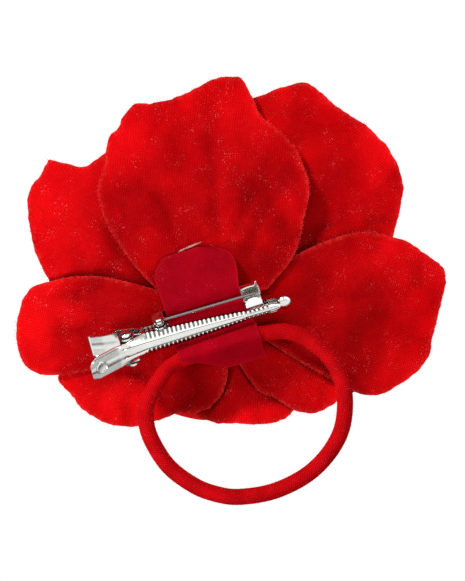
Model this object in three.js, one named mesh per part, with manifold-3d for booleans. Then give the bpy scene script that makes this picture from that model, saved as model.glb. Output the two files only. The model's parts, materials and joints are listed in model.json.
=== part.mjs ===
// Three-way flower hair clip, in millimetres: a red fabric rose on a toothed clip, with a bar pin beside the
// clip and a hair elastic below it, held on by one ribbon tab and hot glue.
// Frame: +X to the right and +Z up as seen from the clip's side, and the rose opens towards +Y. The origin is
// the middle of the line along which the clip's jaws grip.
import * as THREE from "three";
import { mergeVertices } from "three/addons/utils/BufferGeometryUtils.js";
import Module from "manifold-3d";

const wasm = await Module();
wasm.setup();

// ---- driving dimensions -------------------------------------------------------------------------------
const CLIP_SLOPE = 17.5; // degrees that the clip's length rises towards +X
const CLIP_LEAN = 32; // degrees that the clip turns about its length, so its jaws open out and down
const JAW_TURN = { degrees: -2.2, x: -8 }; // the jaws sit a little askew on the bar, turned in their plane

const PLATE = 0.4; // sheet metal of the clip
const PIVOT = { x: -22.35, z: 0.9, rod: 0.8, hole: 1.0, head: 1.35, half: 4.75 };
const SPRING = { wire: 0.25, radius: 1.2, turns: 3.5, half: 1.8, legX: -27, upperLeg: 3.35, lowerLeg: -2.65 };
const CHEEK = { thick: 0.4, upperY: 2.5, upperRadius: 1.75, lowerY: 3.3, lowerRadius: 1.9 };
// Teeth: one gap each second step, its depth, how far its edge draws in, and where the flange's bend lies.
const TEETH = { from: -17, to: 12.6, step: 0.925, depth: 0.45, pinch: 0.12, bend: 0.35 };

const BAR = { from: -15.1, to: 11, low: 1.6, high: 5.6, top: -2.1, thick: 0.6, corner: 1.2 };
const TAIL = { from: -19.3, low: 0.4, high: 3.0, corner: 0.4 }; // narrow end of the bar, towards the levers
const PIN = { x: -13.8, y: 4.65, z: 0.7, wire: 0.36, ring: 0.95, rise: 0.95, tip: 10.9, taper: 2.2 };
const EAR = { radius: 1.4, thick: 0.4, apart: 0.75, hole: 0.6 };
const RIVET = { rod: 0.45, head: 0.9, dome: 0.42, slack: 0.12 };
const CATCH = { from: 6.8, to: 10.8, thick: 0.35 };

const RIBBON = { left: -12, right: 6.5, thick: 0.4, flare: 1.4, crop: 2.2, cropFrom: 6.2 };
const ELASTIC = { radius: 1.95, line: -6.05, depth: 1.7, heldFrom: -11, heldTo: 5.6, gap: 0.3 };

const ROSE = { x: -1.2, z: 3.5, back: 3.9, stem: 3.2, sheet: 0.45, step: 1.0 };
const BOWL = { flat: 16, reach: 55, rise: 7.5 }; // outer petals lie flat to one radius, then curve forward
const FOLD = { height: 0.8, waves: 7 }; // soft radial folds shared by all outer petals
const GRID = 6.5; // mesh step of the outer petals
const FAR = 60; // reach of the tools that cut across the whole rose

const RED = 0xc4000f;
const CRIMSON = 0x9c0a1e;
const NICKEL = 0xd8d8d6;

const rad = THREE.MathUtils.degToRad;
const v3 = (x, y, z) => new THREE.Vector3(x, y, z);

// ---- materials ----------------------------------------------------------------------------------------
const finish = (color, roughness, metalness) =>
  new THREE.MeshStandardMaterial({ color, roughness, metalness });
const petalCloth = finish(RED, 0.85, 0);
const ribbonCloth = finish(CRIMSON, 0.6, 0);
const elasticKnit = finish(RED, 0.9, 0);
const plated = finish(NICKEL, 0.18, 1);
const springSteel = finish(0x9fa1a3, 0.35, 1);
const hotGlue = finish(0xe6d9cf, 0.3, 0);
const stemPlastic = finish(0x6e0a12, 0.7, 0);

// ---- shape helpers ------------------------------------------------------------------------------------
function toSolid(geometry) {
  const bare = geometry.clone();
  bare.deleteAttribute("normal");
  bare.deleteAttribute("uv");
  const merged = mergeVertices(bare, 1e-4);
  return new wasm.Manifold(
    new wasm.Mesh({
      numProp: 3,
      vertProperties: new Float32Array(merged.attributes.position.array),
      triVerts: new Uint32Array(merged.index.array),
    }),
  );
}

function toGeometry(solid) {
  const mesh = solid.getMesh();
  const geometry = new THREE.BufferGeometry();
  geometry.setAttribute("position", new THREE.BufferAttribute(mesh.vertProperties, 3));
  geometry.setIndex(new THREE.BufferAttribute(mesh.triVerts, 1));
  geometry.computeVertexNormals();
  return geometry;
}

const join = (...parts) => toGeometry(parts.map(toSolid).reduce((a, b) => a.add(b)));
const cut = (body, tool) => toGeometry(toSolid(body).subtract(toSolid(tool)));

// A closed sheet between two grids of points, front[i][j] and back[i][j].
function sheet(front, back) {
  const rows = front.length;
  const cols = front[0].length;
  const points = [...front.flat(), ...back.flat()];
  const at = (i, j) => i * cols + j;
  const under = rows * cols;
  const index = [];
  for (let i = 0; i + 1 < rows; i++)
    for (let j = 0; j + 1 < cols; j++) {
      const [a, b, c, d] = [at(i, j), at(i + 1, j), at(i + 1, j + 1), at(i, j + 1)];
      index.push(a, b, c, a, c, d);
      index.push(a + under, c + under, b + under, a + under, d + under, c + under);
    }
  const rim = [];
  for (let i = 0; i + 1 < rows; i++) rim.push(at(i, 0));
  for (let j = 0; j + 1 < cols; j++) rim.push(at(rows - 1, j));
  for (let i = rows - 1; i > 0; i--) rim.push(at(i, cols - 1));
  for (let j = cols - 1; j > 0; j--) rim.push(at(0, j));
  rim.forEach((p, k) => {
    const q = rim[(k + 1) % rim.length];
    index.push(q, p, p + under, q, p + under, q + under);
  });
  return facingOut(points, index);
}

// Turns every face round when the closed mesh has them pointing in.
function facingOut(points, index) {
  let volume = 0;
  for (let k = 0; k < index.length; k += 3) {
    const [a, b, c] = [points[index[k]], points[index[k + 1]], points[index[k + 2]]];
    volume += a.dot(b.clone().cross(c));
  }
  if (volume < 0)
    for (let k = 0; k < index.length; k += 3) [index[k], index[k + 1]] = [index[k + 1], index[k]];
  const geometry = new THREE.BufferGeometry().setFromPoints(points);
  geometry.setIndex(index);
  geometry.computeVertexNormals();
  return geometry;
}

function tube(curve, radius, sides, steps) {
  const section = new THREE.Shape();
  for (let k = 0; k < sides; k++) {
    const angle = (2 * Math.PI * k) / sides;
    const [x, y] = [radius * Math.cos(angle), radius * Math.sin(angle)];
    if (k === 0) section.moveTo(x, y);
    else section.lineTo(x, y);
  }
  section.closePath();
  return new THREE.ExtrudeGeometry(section, { extrudePath: curve, steps, curveSegments: 1 });
}

// A plate standing across the clip's width: its outline is in local x and z, and it lies from y0 to y1.
function standingPlate(shape, y0, y1) {
  const plate = new THREE.ExtrudeGeometry(shape, { depth: y1 - y0, bevelEnabled: false, curveSegments: 10 });
  return plate.rotateX(Math.PI / 2).translate(0, y1, 0);
}

// A rod along local y, from its half profile in [radius, y] pairs that start and end on the axis.
function turned(profile, segments, x, z) {
  const points = profile.map(([r, y]) => new THREE.Vector2(r, y));
  return new THREE.LatheGeometry(points, segments).translate(x, 0, z);
}

// Values in a table of [position, ...values] rows, blended between its rows.
function between(table, x) {
  if (x <= table[0][0]) return table[0].slice(1);
  for (let k = 1; k < table.length; k++) {
    const [low, high] = [table[k - 1], table[k]];
    if (x <= high[0]) {
      const t = (x - low[0]) / (high[0] - low[0]);
      return low.slice(1).map((value, n) => THREE.MathUtils.lerp(value, high[n + 1], t));
    }
  }
  return table[table.length - 1].slice(1);
}

const clipParts = new THREE.Group(); // local x along the clip, y across it, z out of the upper jaw
const jawParts = new THREE.Group(); // the jaws, their pivot and spring
const flowerParts = new THREE.Group();
function add(group, name, geometry, material) {
  const mesh = new THREE.Mesh(geometry, material);
  mesh.name = name;
  group.add(mesh);
}

// ---- clip jaws ----------------------------------------------------------------------------------------
// Each jaw is one pressed strip: a lever behind the pivot, and a channel with toothed flanges in front of it.
// Rows: x, height of the strip's outer face, half width over the flanges, half width of the flat middle,
// height of the flanges' outer edge.
const UPPER_ROWS = [
  [-32.3, 6.75, 1.7, 1.0, 6.75],
  [-31.7, 6.5, 2.5, 1.6, 6.5],
  [-30.6, 6.05, 2.9, 1.9, 6.05],
  [-27.0, 4.6, 2.9, 1.9, 4.6],
  [-25.0, 3.8, 2.9, 1.9, 3.8],
  [-23.0, 3.15, 2.95, 1.9, 3.05],
  [-20.5, 2.8, 3.0, 1.5, 1.9],
  [-18.0, 2.35, 2.95, 1.45, 0.8],
  [-8.5, 1.9, 2.45, 1.35, 0.75],
  [-1.0, 1.6, 1.95, 1.0, 0.75],
  [5.8, 1.35, 1.3, 0.6, 0.75],
  [6.4, 1.15, 1.05, 0.6, 0.7],
  [12.8, 1.05, 1.05, 0.55, 0.65],
  [13.8, 1.0, 0.85, 0.45, 0.75],
  [14.5, 0.9, 0.4, 0.2, 0.85],
];
const LOWER_ROWS = [
  [-30.9, -5.0, 2.6, 1.7, -5.0],
  [-30.5, -4.85, 3.0, 1.9, -4.85],
  [-27.8, -3.8, 3.0, 1.9, -3.8],
  [-25.0, -2.95, 3.3, 2.2, -2.95],
  [-24.2, -2.75, 3.75, 2.4, -2.75],
  [-22.35, -2.2, 3.75, 2.4, -2.2],
  [-20.2, -1.85, 3.75, 2.0, -1.6],
  [-18.0, -1.75, 2.95, 1.5, -0.85],
  [-8.5, -1.75, 2.5, 1.4, -0.85],
  [-1.0, -1.7, 2.15, 1.2, -0.85],
  [5.8, -1.55, 1.4, 0.8, -0.85],
  [10.8, -1.5, 1.4, 0.8, -0.85],
  [11.6, -1.5, 1.9, 1.1, -0.85],
  [13.4, -1.4, 1.85, 1.1, -0.85],
  [14.6, -1.25, 1.2, 0.7, -0.85],
];

// up is 1 for the upper jaw, whose flanges point down, and -1 for the lower one.
function jaw(rows, up) {
  const isPlain = ([x]) => x < TEETH.from || x > TEETH.to;
  const places = rows.filter(isPlain).map(([x]) => [x, 0]);
  const count = Math.round((TEETH.to - TEETH.from) / TEETH.step);
  for (let k = 0; k <= count; k++) places.push([TEETH.from + k * TEETH.step, k % 2]);
  places.sort((a, b) => a[0] - b[0]);
  const outer = [];
  const inner = [];
  for (const [x, gap] of places) {
    const [top, half, flat, edge] = between(rows, x);
    const end = edge + up * gap * TEETH.depth;
    const rim = half - gap * TEETH.pinch;
    const bendY = THREE.MathUtils.lerp(flat, half, TEETH.bend);
    const bendZ = THREE.MathUtils.lerp(top, end, TEETH.bend);
    const section = [
      [-rim, end],
      [-bendY, bendZ],
      [-flat, top],
      [flat, top],
      [bendY, bendZ],
      [rim, end],
    ];
    outer.push(section.map(([y, z]) => v3(x, y, z)));
    inner.push(section.map(([y, z]) => v3(x, y, z - up * PLATE)));
  }
  return sheet(outer, inner);
}

// The two cheeks beside the pivot, one on each side: round ears on feet that are buried in the strip.
function cheeks(y, radius, feet) {
  const shape = new THREE.Shape();
  const start = feet[0][1] < PIVOT.z ? 0 : Math.PI;
  shape.absarc(PIVOT.x, PIVOT.z, radius, start, start + Math.PI, false);
  feet.forEach(([x, z]) => shape.lineTo(x, z));
  shape.closePath();
  return [-y - CHEEK.thick, y].map((from) => standingPlate(shape, from, from + CHEEK.thick));
}

const bore = (radius, x, z) => turned([[0, -9], [radius, -9], [radius, 9], [0, 9]], 16, x, z);
const upperCheeks = cheeks(CHEEK.upperY, CHEEK.upperRadius, [[-20.7, 2.45], [-24.2, 3.25]]);
const lowerCheeks = cheeks(CHEEK.lowerY, CHEEK.lowerRadius, [[-24.1, -2.55], [-20.4, -1.65]]);
const leverDimple = new THREE.CylinderGeometry(1.45, 1.45, 0.3, 20)
  .rotateX(Math.PI / 2)
  .rotateY(Math.atan2(0.4, 1))
  .translate(-29.7, 0, 5.85);
const discTip = new THREE.SphereGeometry(1, 16, 8).scale(1.75, 1.65, 0.55).translate(15.7, -0.35, -0.8);

const upperJaw = join(jaw(UPPER_ROWS, 1), ...upperCheeks, leverDimple);
add(jawParts, "upper_jaw", cut(upperJaw, bore(PIVOT.hole, PIVOT.x, PIVOT.z)), plated);
const lowerJaw = join(jaw(LOWER_ROWS, -1), ...lowerCheeks, discTip);
add(jawParts, "lower_jaw", cut(lowerJaw, bore(PIVOT.hole, PIVOT.x, PIVOT.z)), plated);

const pivotProfile = [
  [0, -PIVOT.half],
  [0.85, -4.62],
  [PIVOT.head, -4.2],
  [PIVOT.head, -3.95],
  [PIVOT.rod, -3.95],
  [PIVOT.rod, 3.95],
  [PIVOT.head, 3.95],
  [PIVOT.head, 4.2],
  [0.85, 4.62],
  [0, PIVOT.half],
];
add(jawParts, "jaw_pivot", turned(pivotProfile, 14, PIVOT.x, PIVOT.z), plated);

// Torsion spring round the pivot: its legs press the two levers apart.
function springPath() {
  const legMiddle = (SPRING.legX + PIVOT.x) / 2;
  const points = [v3(SPRING.legX, SPRING.half, SPRING.upperLeg), v3(legMiddle, SPRING.half, 2.75)];
  const steps = SPRING.turns * 8;
  for (let k = 0; k <= steps; k++) {
    const angle = Math.PI / 2 - (2 * Math.PI * k) / 8;
    const y = SPRING.half * (1 - (2 * k) / steps);
    points.push(v3(PIVOT.x + SPRING.radius * Math.cos(angle), y, PIVOT.z + SPRING.radius * Math.sin(angle)));
  }
  points.push(v3(legMiddle, -SPRING.half, -1.4), v3(SPRING.legX, -SPRING.half, SPRING.lowerLeg));
  return new THREE.CatmullRomCurve3(points);
}
add(jawParts, "jaw_spring", tube(springPath(), SPRING.wire, 6, 46), springSteel);

// ---- bar pin ------------------------------------------------------------------------------------------
// A flat strip with round corners, in local x and y.
function strip(from, to, low, high, corner) {
  const shape = new THREE.Shape();
  shape.absarc(from + corner, high - corner, corner, Math.PI / 2, Math.PI, false);
  shape.absarc(from + corner, low + corner, corner, Math.PI, 1.5 * Math.PI, false);
  shape.absarc(to - corner, low + corner, corner, -Math.PI / 2, 0, false);
  shape.absarc(to - corner, high - corner, corner, 0, Math.PI / 2, false);
  shape.closePath();
  const plate = new THREE.ExtrudeGeometry(shape, { depth: BAR.thick, bevelEnabled: false, curveSegments: 6 });
  return plate.translate(0, 0, BAR.top - BAR.thick);
}

function pinEar(y) {
  const shape = new THREE.Shape();
  shape.absarc(PIN.x, PIN.z, EAR.radius, 0, Math.PI, false);
  shape.lineTo(PIN.x - EAR.radius, BAR.top - 0.3);
  shape.lineTo(PIN.x + EAR.radius, BAR.top - 0.3);
  shape.closePath();
  return standingPlate(shape, y - EAR.thick / 2, y + EAR.thick / 2);
}

const earAt = [PIN.y - EAR.apart, PIN.y + EAR.apart];
const bar = join(
  strip(BAR.from, BAR.to, BAR.low, BAR.high, BAR.corner),
  strip(TAIL.from, PIN.x, TAIL.low, TAIL.high, TAIL.corner),
  ...earAt.map(pinEar),
);
add(clipParts, "pin_bar", cut(bar, bore(EAR.hole, PIN.x, PIN.z)), plated);

const rivetEnds = [earAt[0] - EAR.thick / 2 - RIVET.slack, earAt[1] + EAR.thick / 2 + RIVET.slack];
const rivetProfile = [
  [0, rivetEnds[0] - RIVET.dome],
  [0.9 * RIVET.head, rivetEnds[0] - 0.7 * RIVET.dome],
  [RIVET.head, rivetEnds[0]],
  [RIVET.rod, rivetEnds[0]],
  [RIVET.rod, rivetEnds[1]],
  [RIVET.head, rivetEnds[1]],
  [0.9 * RIVET.head, rivetEnds[1] + 0.7 * RIVET.dome],
  [0, rivetEnds[1] + RIVET.dome],
];
add(clipParts, "pin_rivet", turned(rivetProfile, 12, PIN.x, PIN.z), plated);

// The pin: an eye round the rivet, a straight wire and a sharp tip that lies in the catch.
function pinWire() {
  const points = [];
  for (let k = 0; k <= 10; k++) {
    const angle = rad(10 + 26 * k);
    points.push(v3(PIN.x + PIN.ring * Math.cos(angle), PIN.y, PIN.z + PIN.ring * Math.sin(angle)));
  }
  const slant = Math.atan2(PIN.rise, PIN.tip - PIN.x);
  const height = (x) => PIN.z - PIN.ring + (x - PIN.x) * Math.tan(slant);
  const neck = PIN.tip - PIN.taper;
  for (const x of [-12.2, -9.6, -4, 2, neck + 0.2]) points.push(v3(x, PIN.y, height(x)));
  const wire = tube(new THREE.CatmullRomCurve3(points), PIN.wire, 8, 32);
  const point = new THREE.ConeGeometry(PIN.wire, PIN.taper, 8).rotateZ(-Math.PI / 2).rotateY(-slant);
  const middle = neck + PIN.taper / 2;
  return join(wire, point.translate(middle, PIN.y, height(middle)));
}
add(clipParts, "pin_wire", pinWire(), plated);

// The catch: a trough. Its near wall curls over into a tongue beside the wire, and its far wall is a low lip.
const CATCH_RUN = [
  [3.72, 0.85],
  [2.6, 1.6],
  [1.95, 1.75],
  [1.78, 1.1],
  [1.78, -1.1],
  [2.3, -1.62],
  [5.3, -1.62],
  [5.95, -1.1],
  [6.05, 0],
];
const TONGUE_TAPERS = [0.45, 0.1, 0, 0, 0.1, 0.45]; // rounds the tongue's free corners

function catchHook() {
  const run = new THREE.SplineCurve(CATCH_RUN.map(([y, z]) => new THREE.Vector2(y, z)));
  const steps = 22;
  const last = TONGUE_TAPERS.length - 1;
  const wall = (offset) =>
    TONGUE_TAPERS.map((taper, k) => {
      const x = THREE.MathUtils.lerp(CATCH.from, CATCH.to, k / last);
      const pull = v3(0, -0.75 * taper, 0.45 * taper);
      return Array.from({ length: steps + 1 }, (_, n) => {
        const p = run.getPoint(n / steps);
        const t = run.getTangent(n / steps);
        const place = v3(x, p.x - t.y * offset, p.y + t.x * offset);
        if (n === 0) place.add(pull);
        if (n === 1) place.addScaledVector(pull, 0.4);
        return place;
      });
    });
  return sheet(wall(CATCH.thick / 2), wall(-CATCH.thick / 2));
}
add(clipParts, "pin_catch", catchHook(), plated);

// ---- ribbon tab, glue and elastic ---------------------------------------------------------------------
// Points [up, out] in the plane across the clip: up along the rose's back at right angles to the clip, out
// towards +Y. The ribbon climbs over the pin bar, passes between the jaws and goes down over the elastic.
const RIBBON_RUN = [
  [18.0, 3.15],
  [13.0, 1.5],
  [9.0, -0.85],
  [6.6, -1.95],
  [5.2, -1.75],
  [4.0, -1.3],
  [2.6, -1.5],
  [0, 0.08],
  [-2.5, 1.6],
  [-4.0, 0.35],
  [-6.05, -0.9],
  [-8.1, 0.35],
  [-9.9, 2.3],
  [-11.3, 3.05],
];
const lean = rad(CLIP_LEAN);
const slope = rad(CLIP_SLOPE);
const alongClip = v3(Math.cos(slope), 0, Math.sin(slope));
const upRose = v3(-Math.sin(slope), 0, Math.cos(slope));
const onRose = (along, up, out) =>
  v3(0, out, 0).addScaledVector(alongClip, along).addScaledVector(upRose, up);

function ribbonTab() {
  const run = new THREE.SplineCurve(RIBBON_RUN.map(([up, out]) => new THREE.Vector2(up, out)));
  const rows = 30;
  const columns = 4;
  const face = (offset) =>
    Array.from({ length: rows + 1 }, (_, k) => {
      const p = run.getPoint(k / rows);
      const t = run.getTangent(k / rows);
      const lower = THREE.MathUtils.smoothstep(-p.x, -1, 3);
      const upper = THREE.MathUtils.smoothstep(p.x, 14.5, 18);
      const crop = RIBBON.crop * Math.max(0, -p.x - RIBBON.cropFrom);
      const left = RIBBON.left + 0.8 * upper + crop;
      const right = RIBBON.right + RIBBON.flare * lower - 1.6 * upper;
      return Array.from({ length: columns + 1 }, (_, j) =>
        onRose(THREE.MathUtils.lerp(left, right, j / columns), p.x - t.y * offset, p.y + t.x * offset),
      );
    });
  return sheet(face(RIBBON.thick / 2), face(-RIBBON.thick / 2));
}
add(flowerParts, "ribbon_tab", ribbonTab(), ribbonCloth);

// A wedge of hot-melt glue fills the space between the rose's back and the leaning clip and pin bar.
function gluePad() {
  const section = [[-3.4, 3.6], [-1.4, 3.35], [2.7, 2.1], [6.5, 0.1], [8.6, 0], [15.2, 3.0], [15.2, 3.6]];
  const [from, to] = [RIBBON.left + 1.2, RIBBON.right - 1.2];
  const shape = new THREE.Shape(section.map(([up, out]) => new THREE.Vector2(up, out)));
  const pad = new THREE.ExtrudeGeometry(shape, { depth: to - from, bevelEnabled: false });
  const turn = new THREE.Matrix4().makeBasis(upRose, v3(0, 1, 0), alongClip.clone().negate());
  return pad.applyMatrix4(turn.setPosition(onRose(to, 0, 0)));
}
add(flowerParts, "glue_pad", gluePad(), hotGlue);

const bead = new THREE.SphereGeometry(1, 12, 8).scale(2.6, 0.45, 0.6).rotateY(-rad(CLIP_SLOPE + 12));
add(flowerParts, "glue_bead", bead.translate(-6.6, 2.9, 18.4), hotGlue);

// The elastic: a straight stretch under the ribbon, and a loop that hangs below it.
const heldElastic = new THREE.LineCurve3(
  onRose(ELASTIC.heldFrom, ELASTIC.line, ELASTIC.depth),
  onRose(ELASTIC.heldTo, ELASTIC.line, ELASTIC.depth),
);
add(flowerParts, "elastic_held", tube(heldElastic, ELASTIC.radius, 8, 3), elasticKnit);

const LOOP_ROUTE = [
  [15.3, -2.7, 1.65],
  [20.4, -4.4, 1.55],
  [25.0, -8.0, 1.4],
  [28.2, -12.9, 1.2],
  [29.4, -18.8, 1.0],
  [28.6, -25.7, 0.8],
  [25.3, -31.7, 0.6],
  [20.0, -36.7, 0.5],
  [12.5, -40.3, 0.4],
  [4.5, -41.6, 0.4],
  [-1.0, -40.9, 0.4],
  [-6.3, -38.8, 0.5],
  [-12.2, -34.3, 0.6],
  [-16.3, -27.8, 0.8],
  [-17.5, -22.6, 1.0],
  [-16.8, -18.6, 1.25],
  [-14.6, -14.6, 1.5],
  [-12.3, -11.4, 1.65],
].map(([x, z, out]) => v3(x, out, z));
const onHeldLine = (along) => onRose(along, ELASTIC.line, ELASTIC.depth);
const loopStart = [ELASTIC.gap, 1.6, 2.9].map((past) => onHeldLine(ELASTIC.heldTo + past));
const loopEnd = [1.2, 0.7, ELASTIC.gap].map((past) => onHeldLine(ELASTIC.heldFrom - past));
const loop = new THREE.CatmullRomCurve3([...loopStart, ...LOOP_ROUTE, ...loopEnd], false, "centripetal");
add(flowerParts, "elastic_loop", tube(loop, ELASTIC.radius, 8, 30), elasticKnit);

// ---- outer petals -------------------------------------------------------------------------------------
// The outer petals share one surface, each layer a step further forward, so that they nest without touching.
function outerDepth(x, z) {
  const r = Math.hypot(x, z);
  const t = Math.max(0, r - BOWL.flat) / (BOWL.reach - BOWL.flat);
  const swell = THREE.MathUtils.smoothstep(r, BOWL.flat, BOWL.reach);
  const fold = FOLD.height * Math.sin(FOLD.waves * Math.atan2(z, x) + 0.08 * r);
  return BOWL.rise * t ** 1.6 + fold * swell;
}

function layerBlank(layer) {
  const half = Math.ceil(58 / GRID) * GRID;
  const front = [];
  const back = [];
  for (let x = -half; x <= half; x += GRID) {
    const line = [];
    for (let z = -half; z <= half; z += GRID)
      line.push(v3(ROSE.x + x, ROSE.back + layer * ROSE.step + outerDepth(x, z), ROSE.z + z));
    front.push(line);
    back.push(line.map((p) => p.clone().add(v3(0, ROSE.sheet, 0))));
  }
  return toSolid(sheet(front, back));
}

const stemHole = toSolid(
  new THREE.CylinderGeometry(ROSE.stem + 0.25, ROSE.stem + 0.25, FAR, 14).translate(ROSE.x, 0, ROSE.z),
);

// An outline of [degrees, reach] points from the rose's axis, rounded through them and closed at the stem.
function outerPetal(layer, outline) {
  const rim = outline.map(([angle, reach]) => {
    return new THREE.Vector2(reach * Math.cos(rad(angle)), reach * Math.sin(rad(angle)));
  });
  const edge = new THREE.SplineCurve(rim).getPoints(rim.length * 2);
  const middle = rad((outline[0][0] + outline[outline.length - 1][0]) / 2);
  const root = new THREE.Vector2(2.4 * Math.cos(middle), 2.4 * Math.sin(middle));
  const shape = new THREE.Shape([root, ...edge]);
  const blade = new THREE.ExtrudeGeometry(shape, { depth: FAR, bevelEnabled: false });
  blade.rotateX(Math.PI / 2).translate(ROSE.x, FAR / 2, ROSE.z);
  return toGeometry(layerBlank(layer).intersect(toSolid(blade)).subtract(stemHole));
}

const OUTER_PETALS = {
  outer_petal_1: [0, [
    [17, 13], [32, 22], [44, 29], [52, 36], [64, 42], [76, 47], [84, 54], [92, 53],
    [99, 50], [108, 50], [116, 50], [124, 46], [136, 39.5], [143, 32], [153, 22], [166, 14],
  ]],
  outer_petal_2: [1, [
    [165, 12], [166, 28], [171, 38], [176, 44.5], [187, 47], [197, 46.5], [203, 42], [209, 31], [216, 14],
  ]],
  outer_petal_3: [1, [
    [-36, 12], [-33, 30], [-30.5, 41], [-22, 48], [-10, 51.8], [3, 54.3],
    [9, 54.8], [15, 49.6], [22, 43.5], [28, 36], [31, 26], [34, 12],
  ]],
  outer_petal_4: [2, [
    [200, 12], [203, 39], [213, 40], [222, 39.3], [232, 36.5], [241, 32],
    [250, 27.5], [259, 26], [268, 24], [277, 19.5], [287, 12],
  ]],
  outer_petal_5: [2, [
    [290, 12], [296, 21.5], [303, 25.5], [308, 32], [315, 35.2],
    [323, 36.4], [329, 39], [338, 37.5], [352, 16],
  ]],
  second_petal_1: [3, [
    [8, 12], [10, 38], [24, 47], [34, 53], [47, 54.6], [60, 55], [70, 55.5], [79, 50], [92, 43], [98, 12],
  ]],
  second_petal_2: [3, [
    [104, 12], [110, 40], [122, 44], [136, 46], [143, 51.4],
    [152, 50.4], [160, 45.5], [170, 40], [178, 34], [184, 12],
  ]],
  second_petal_3: [3, [
    [250, 12], [258, 25], [267, 27.5], [280, 28.6], [296, 31], [306, 31.2], [316, 26], [322, 12],
  ]],
  second_petal_4: [4, [[186, 12], [188, 32], [200, 37], [216, 36], [230, 33], [242, 27], [248, 12]]],
  second_petal_5: [4, [[316, 12], [320, 30], [332, 36], [344, 43], [356, 45], [364, 36], [368, 12]]],
};
for (const [name, [layer, outline]] of Object.entries(OUTER_PETALS))
  add(flowerParts, name, outerPetal(layer, outline), petalCloth);

// ---- inner rose ---------------------------------------------------------------------------------------
// Cupped petals in rings. Each one starts outside its neighbour on one side and ends inside it on the other.
const ring = (name, count, turn, foot, bulge, lip, spread, shingle) => ({
  name, count, turn, foot, bulge, lip, spread, shingle,
});
const RINGS = [
  ring("third_petal", 5, 20, [5.5, 9.8], [24, 12], [31, 24], 1.32, 1.4),
  ring("inner_petal", 4, 55, [5.0, 12.4], [18, 19], [22, 31], 1.4, 1.2),
  ring("heart_petal", 3, 10, [4.4, 15.2], [12, 23], [13.2, 36], 1.36, 1.0),
];
const NOD = { from: 9, rate: 0.42 }; // the cups lean up towards +Z, this much for each millimetre forward

const cupPoint = (r, angle, y) => {
  const nod = NOD.rate * (y - NOD.from);
  return v3(ROSE.x + r * Math.cos(angle), y, ROSE.z + nod + r * Math.sin(angle));
};

function cuppedPetal({ count, turn, foot, bulge, lip, spread, shingle }, number) {
  const rows = 6;
  const cols = 6;
  const middle = rad(turn + (360 / count) * number);
  const half = rad(180 / count) * spread;
  const profile = new THREE.QuadraticBezierCurve(...[foot, bulge, lip].map((p) => new THREE.Vector2(...p)));
  const face = (offset) =>
    Array.from({ length: rows + 1 }, (_, i) =>
      Array.from({ length: cols + 1 }, (_, j) => {
        const across = (2 * j) / cols - 1;
        const t = (i / rows) * (1 - 0.22 * Math.abs(across) ** 3);
        const p = profile.getPoint(t);
        const d = profile.getTangent(t);
        const wide = 0.62 + 0.38 * Math.sin((Math.PI * (0.1 + 0.8 * t)) / 1.1);
        const angle = middle + half * across * wide;
        const push = offset + shingle * across * (0.35 + 0.65 * t);
        const [r, y] = [p.x + d.y * push, p.y - d.x * push];
        return cupPoint(r, angle, y);
      }),
    );
  return sheet(face(ROSE.sheet / 2), face(-ROSE.sheet / 2));
}
for (const cups of RINGS)
  for (let k = 0; k < cups.count; k++)
    add(flowerParts, `${cups.name}_${k + 1}`, cuppedPetal(cups, k), petalCloth);

// The bud: one strip of cloth rolled into a spiral.
function budRoll() {
  const steps = 34;
  const turns = 2.1;
  const face = (offset) =>
    Array.from({ length: steps + 1 }, (_, k) => {
      const t = k / steps;
      const angle = 2 * Math.PI * turns * t;
      const line = [0, 0.35, 0.7, 1].map((height) => {
        const r = (2.0 + 4.2 * t) * (0.72 + 0.28 * Math.sin(Math.PI * height)) + offset;
        const y = 18.8 + height * (18.6 - 2.4 * t);
        return cupPoint(r, angle, y);
      });
      return line;
    });
  return sheet(face(ROSE.sheet / 2), face(-ROSE.sheet / 2));
}
add(flowerParts, "bud_roll", budRoll(), petalCloth);

// The moulded stem: a straight shank through the outer petals that narrows to a blunt peg under the bud.
const stemProfile = [
  [0, 3.75],
  [ROSE.stem, 3.75],
  [ROSE.stem, 11.2],
  [2.0, 12.6],
  [1.2, 14.4],
  [0, 14.8],
];
const stem = new THREE.LatheGeometry(stemProfile.map(([r, y]) => new THREE.Vector2(r, y)), 16);
add(flowerParts, "rose_core", stem.translate(ROSE.x, 0, ROSE.z), stemPlastic);

// ---- placing ------------------------------------------------------------------------------------------
const across = upRose.clone().multiplyScalar(Math.cos(lean)).add(v3(0, -Math.sin(lean), 0));
const outward = upRose.clone().multiplyScalar(-Math.sin(lean)).add(v3(0, -Math.cos(lean), 0));
clipParts.setRotationFromMatrix(new THREE.Matrix4().makeBasis(alongClip, across, outward));

const askew = new THREE.Matrix4().makeTranslation(JAW_TURN.x, 0, 0);
askew.multiply(new THREE.Matrix4().makeRotationZ(rad(JAW_TURN.degrees)));
jawParts.applyMatrix4(askew.multiply(new THREE.Matrix4().makeTranslation(-JAW_TURN.x, 0, 0)));
clipParts.add(jawParts);

const hairClip = new THREE.Group();
hairClip.add(clipParts, flowerParts);
export default hairClip;
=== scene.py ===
# A red fabric rose hair accessory from its clip side: toothed clip, bar pin, ribbon tab and hair elastic.
# Shapes are worked out in millimetres in the frame's own axes and turned into metres when a mesh is made.
import json
import math

import bpy
import numpy as np
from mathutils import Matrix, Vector, geometry, noise


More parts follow.
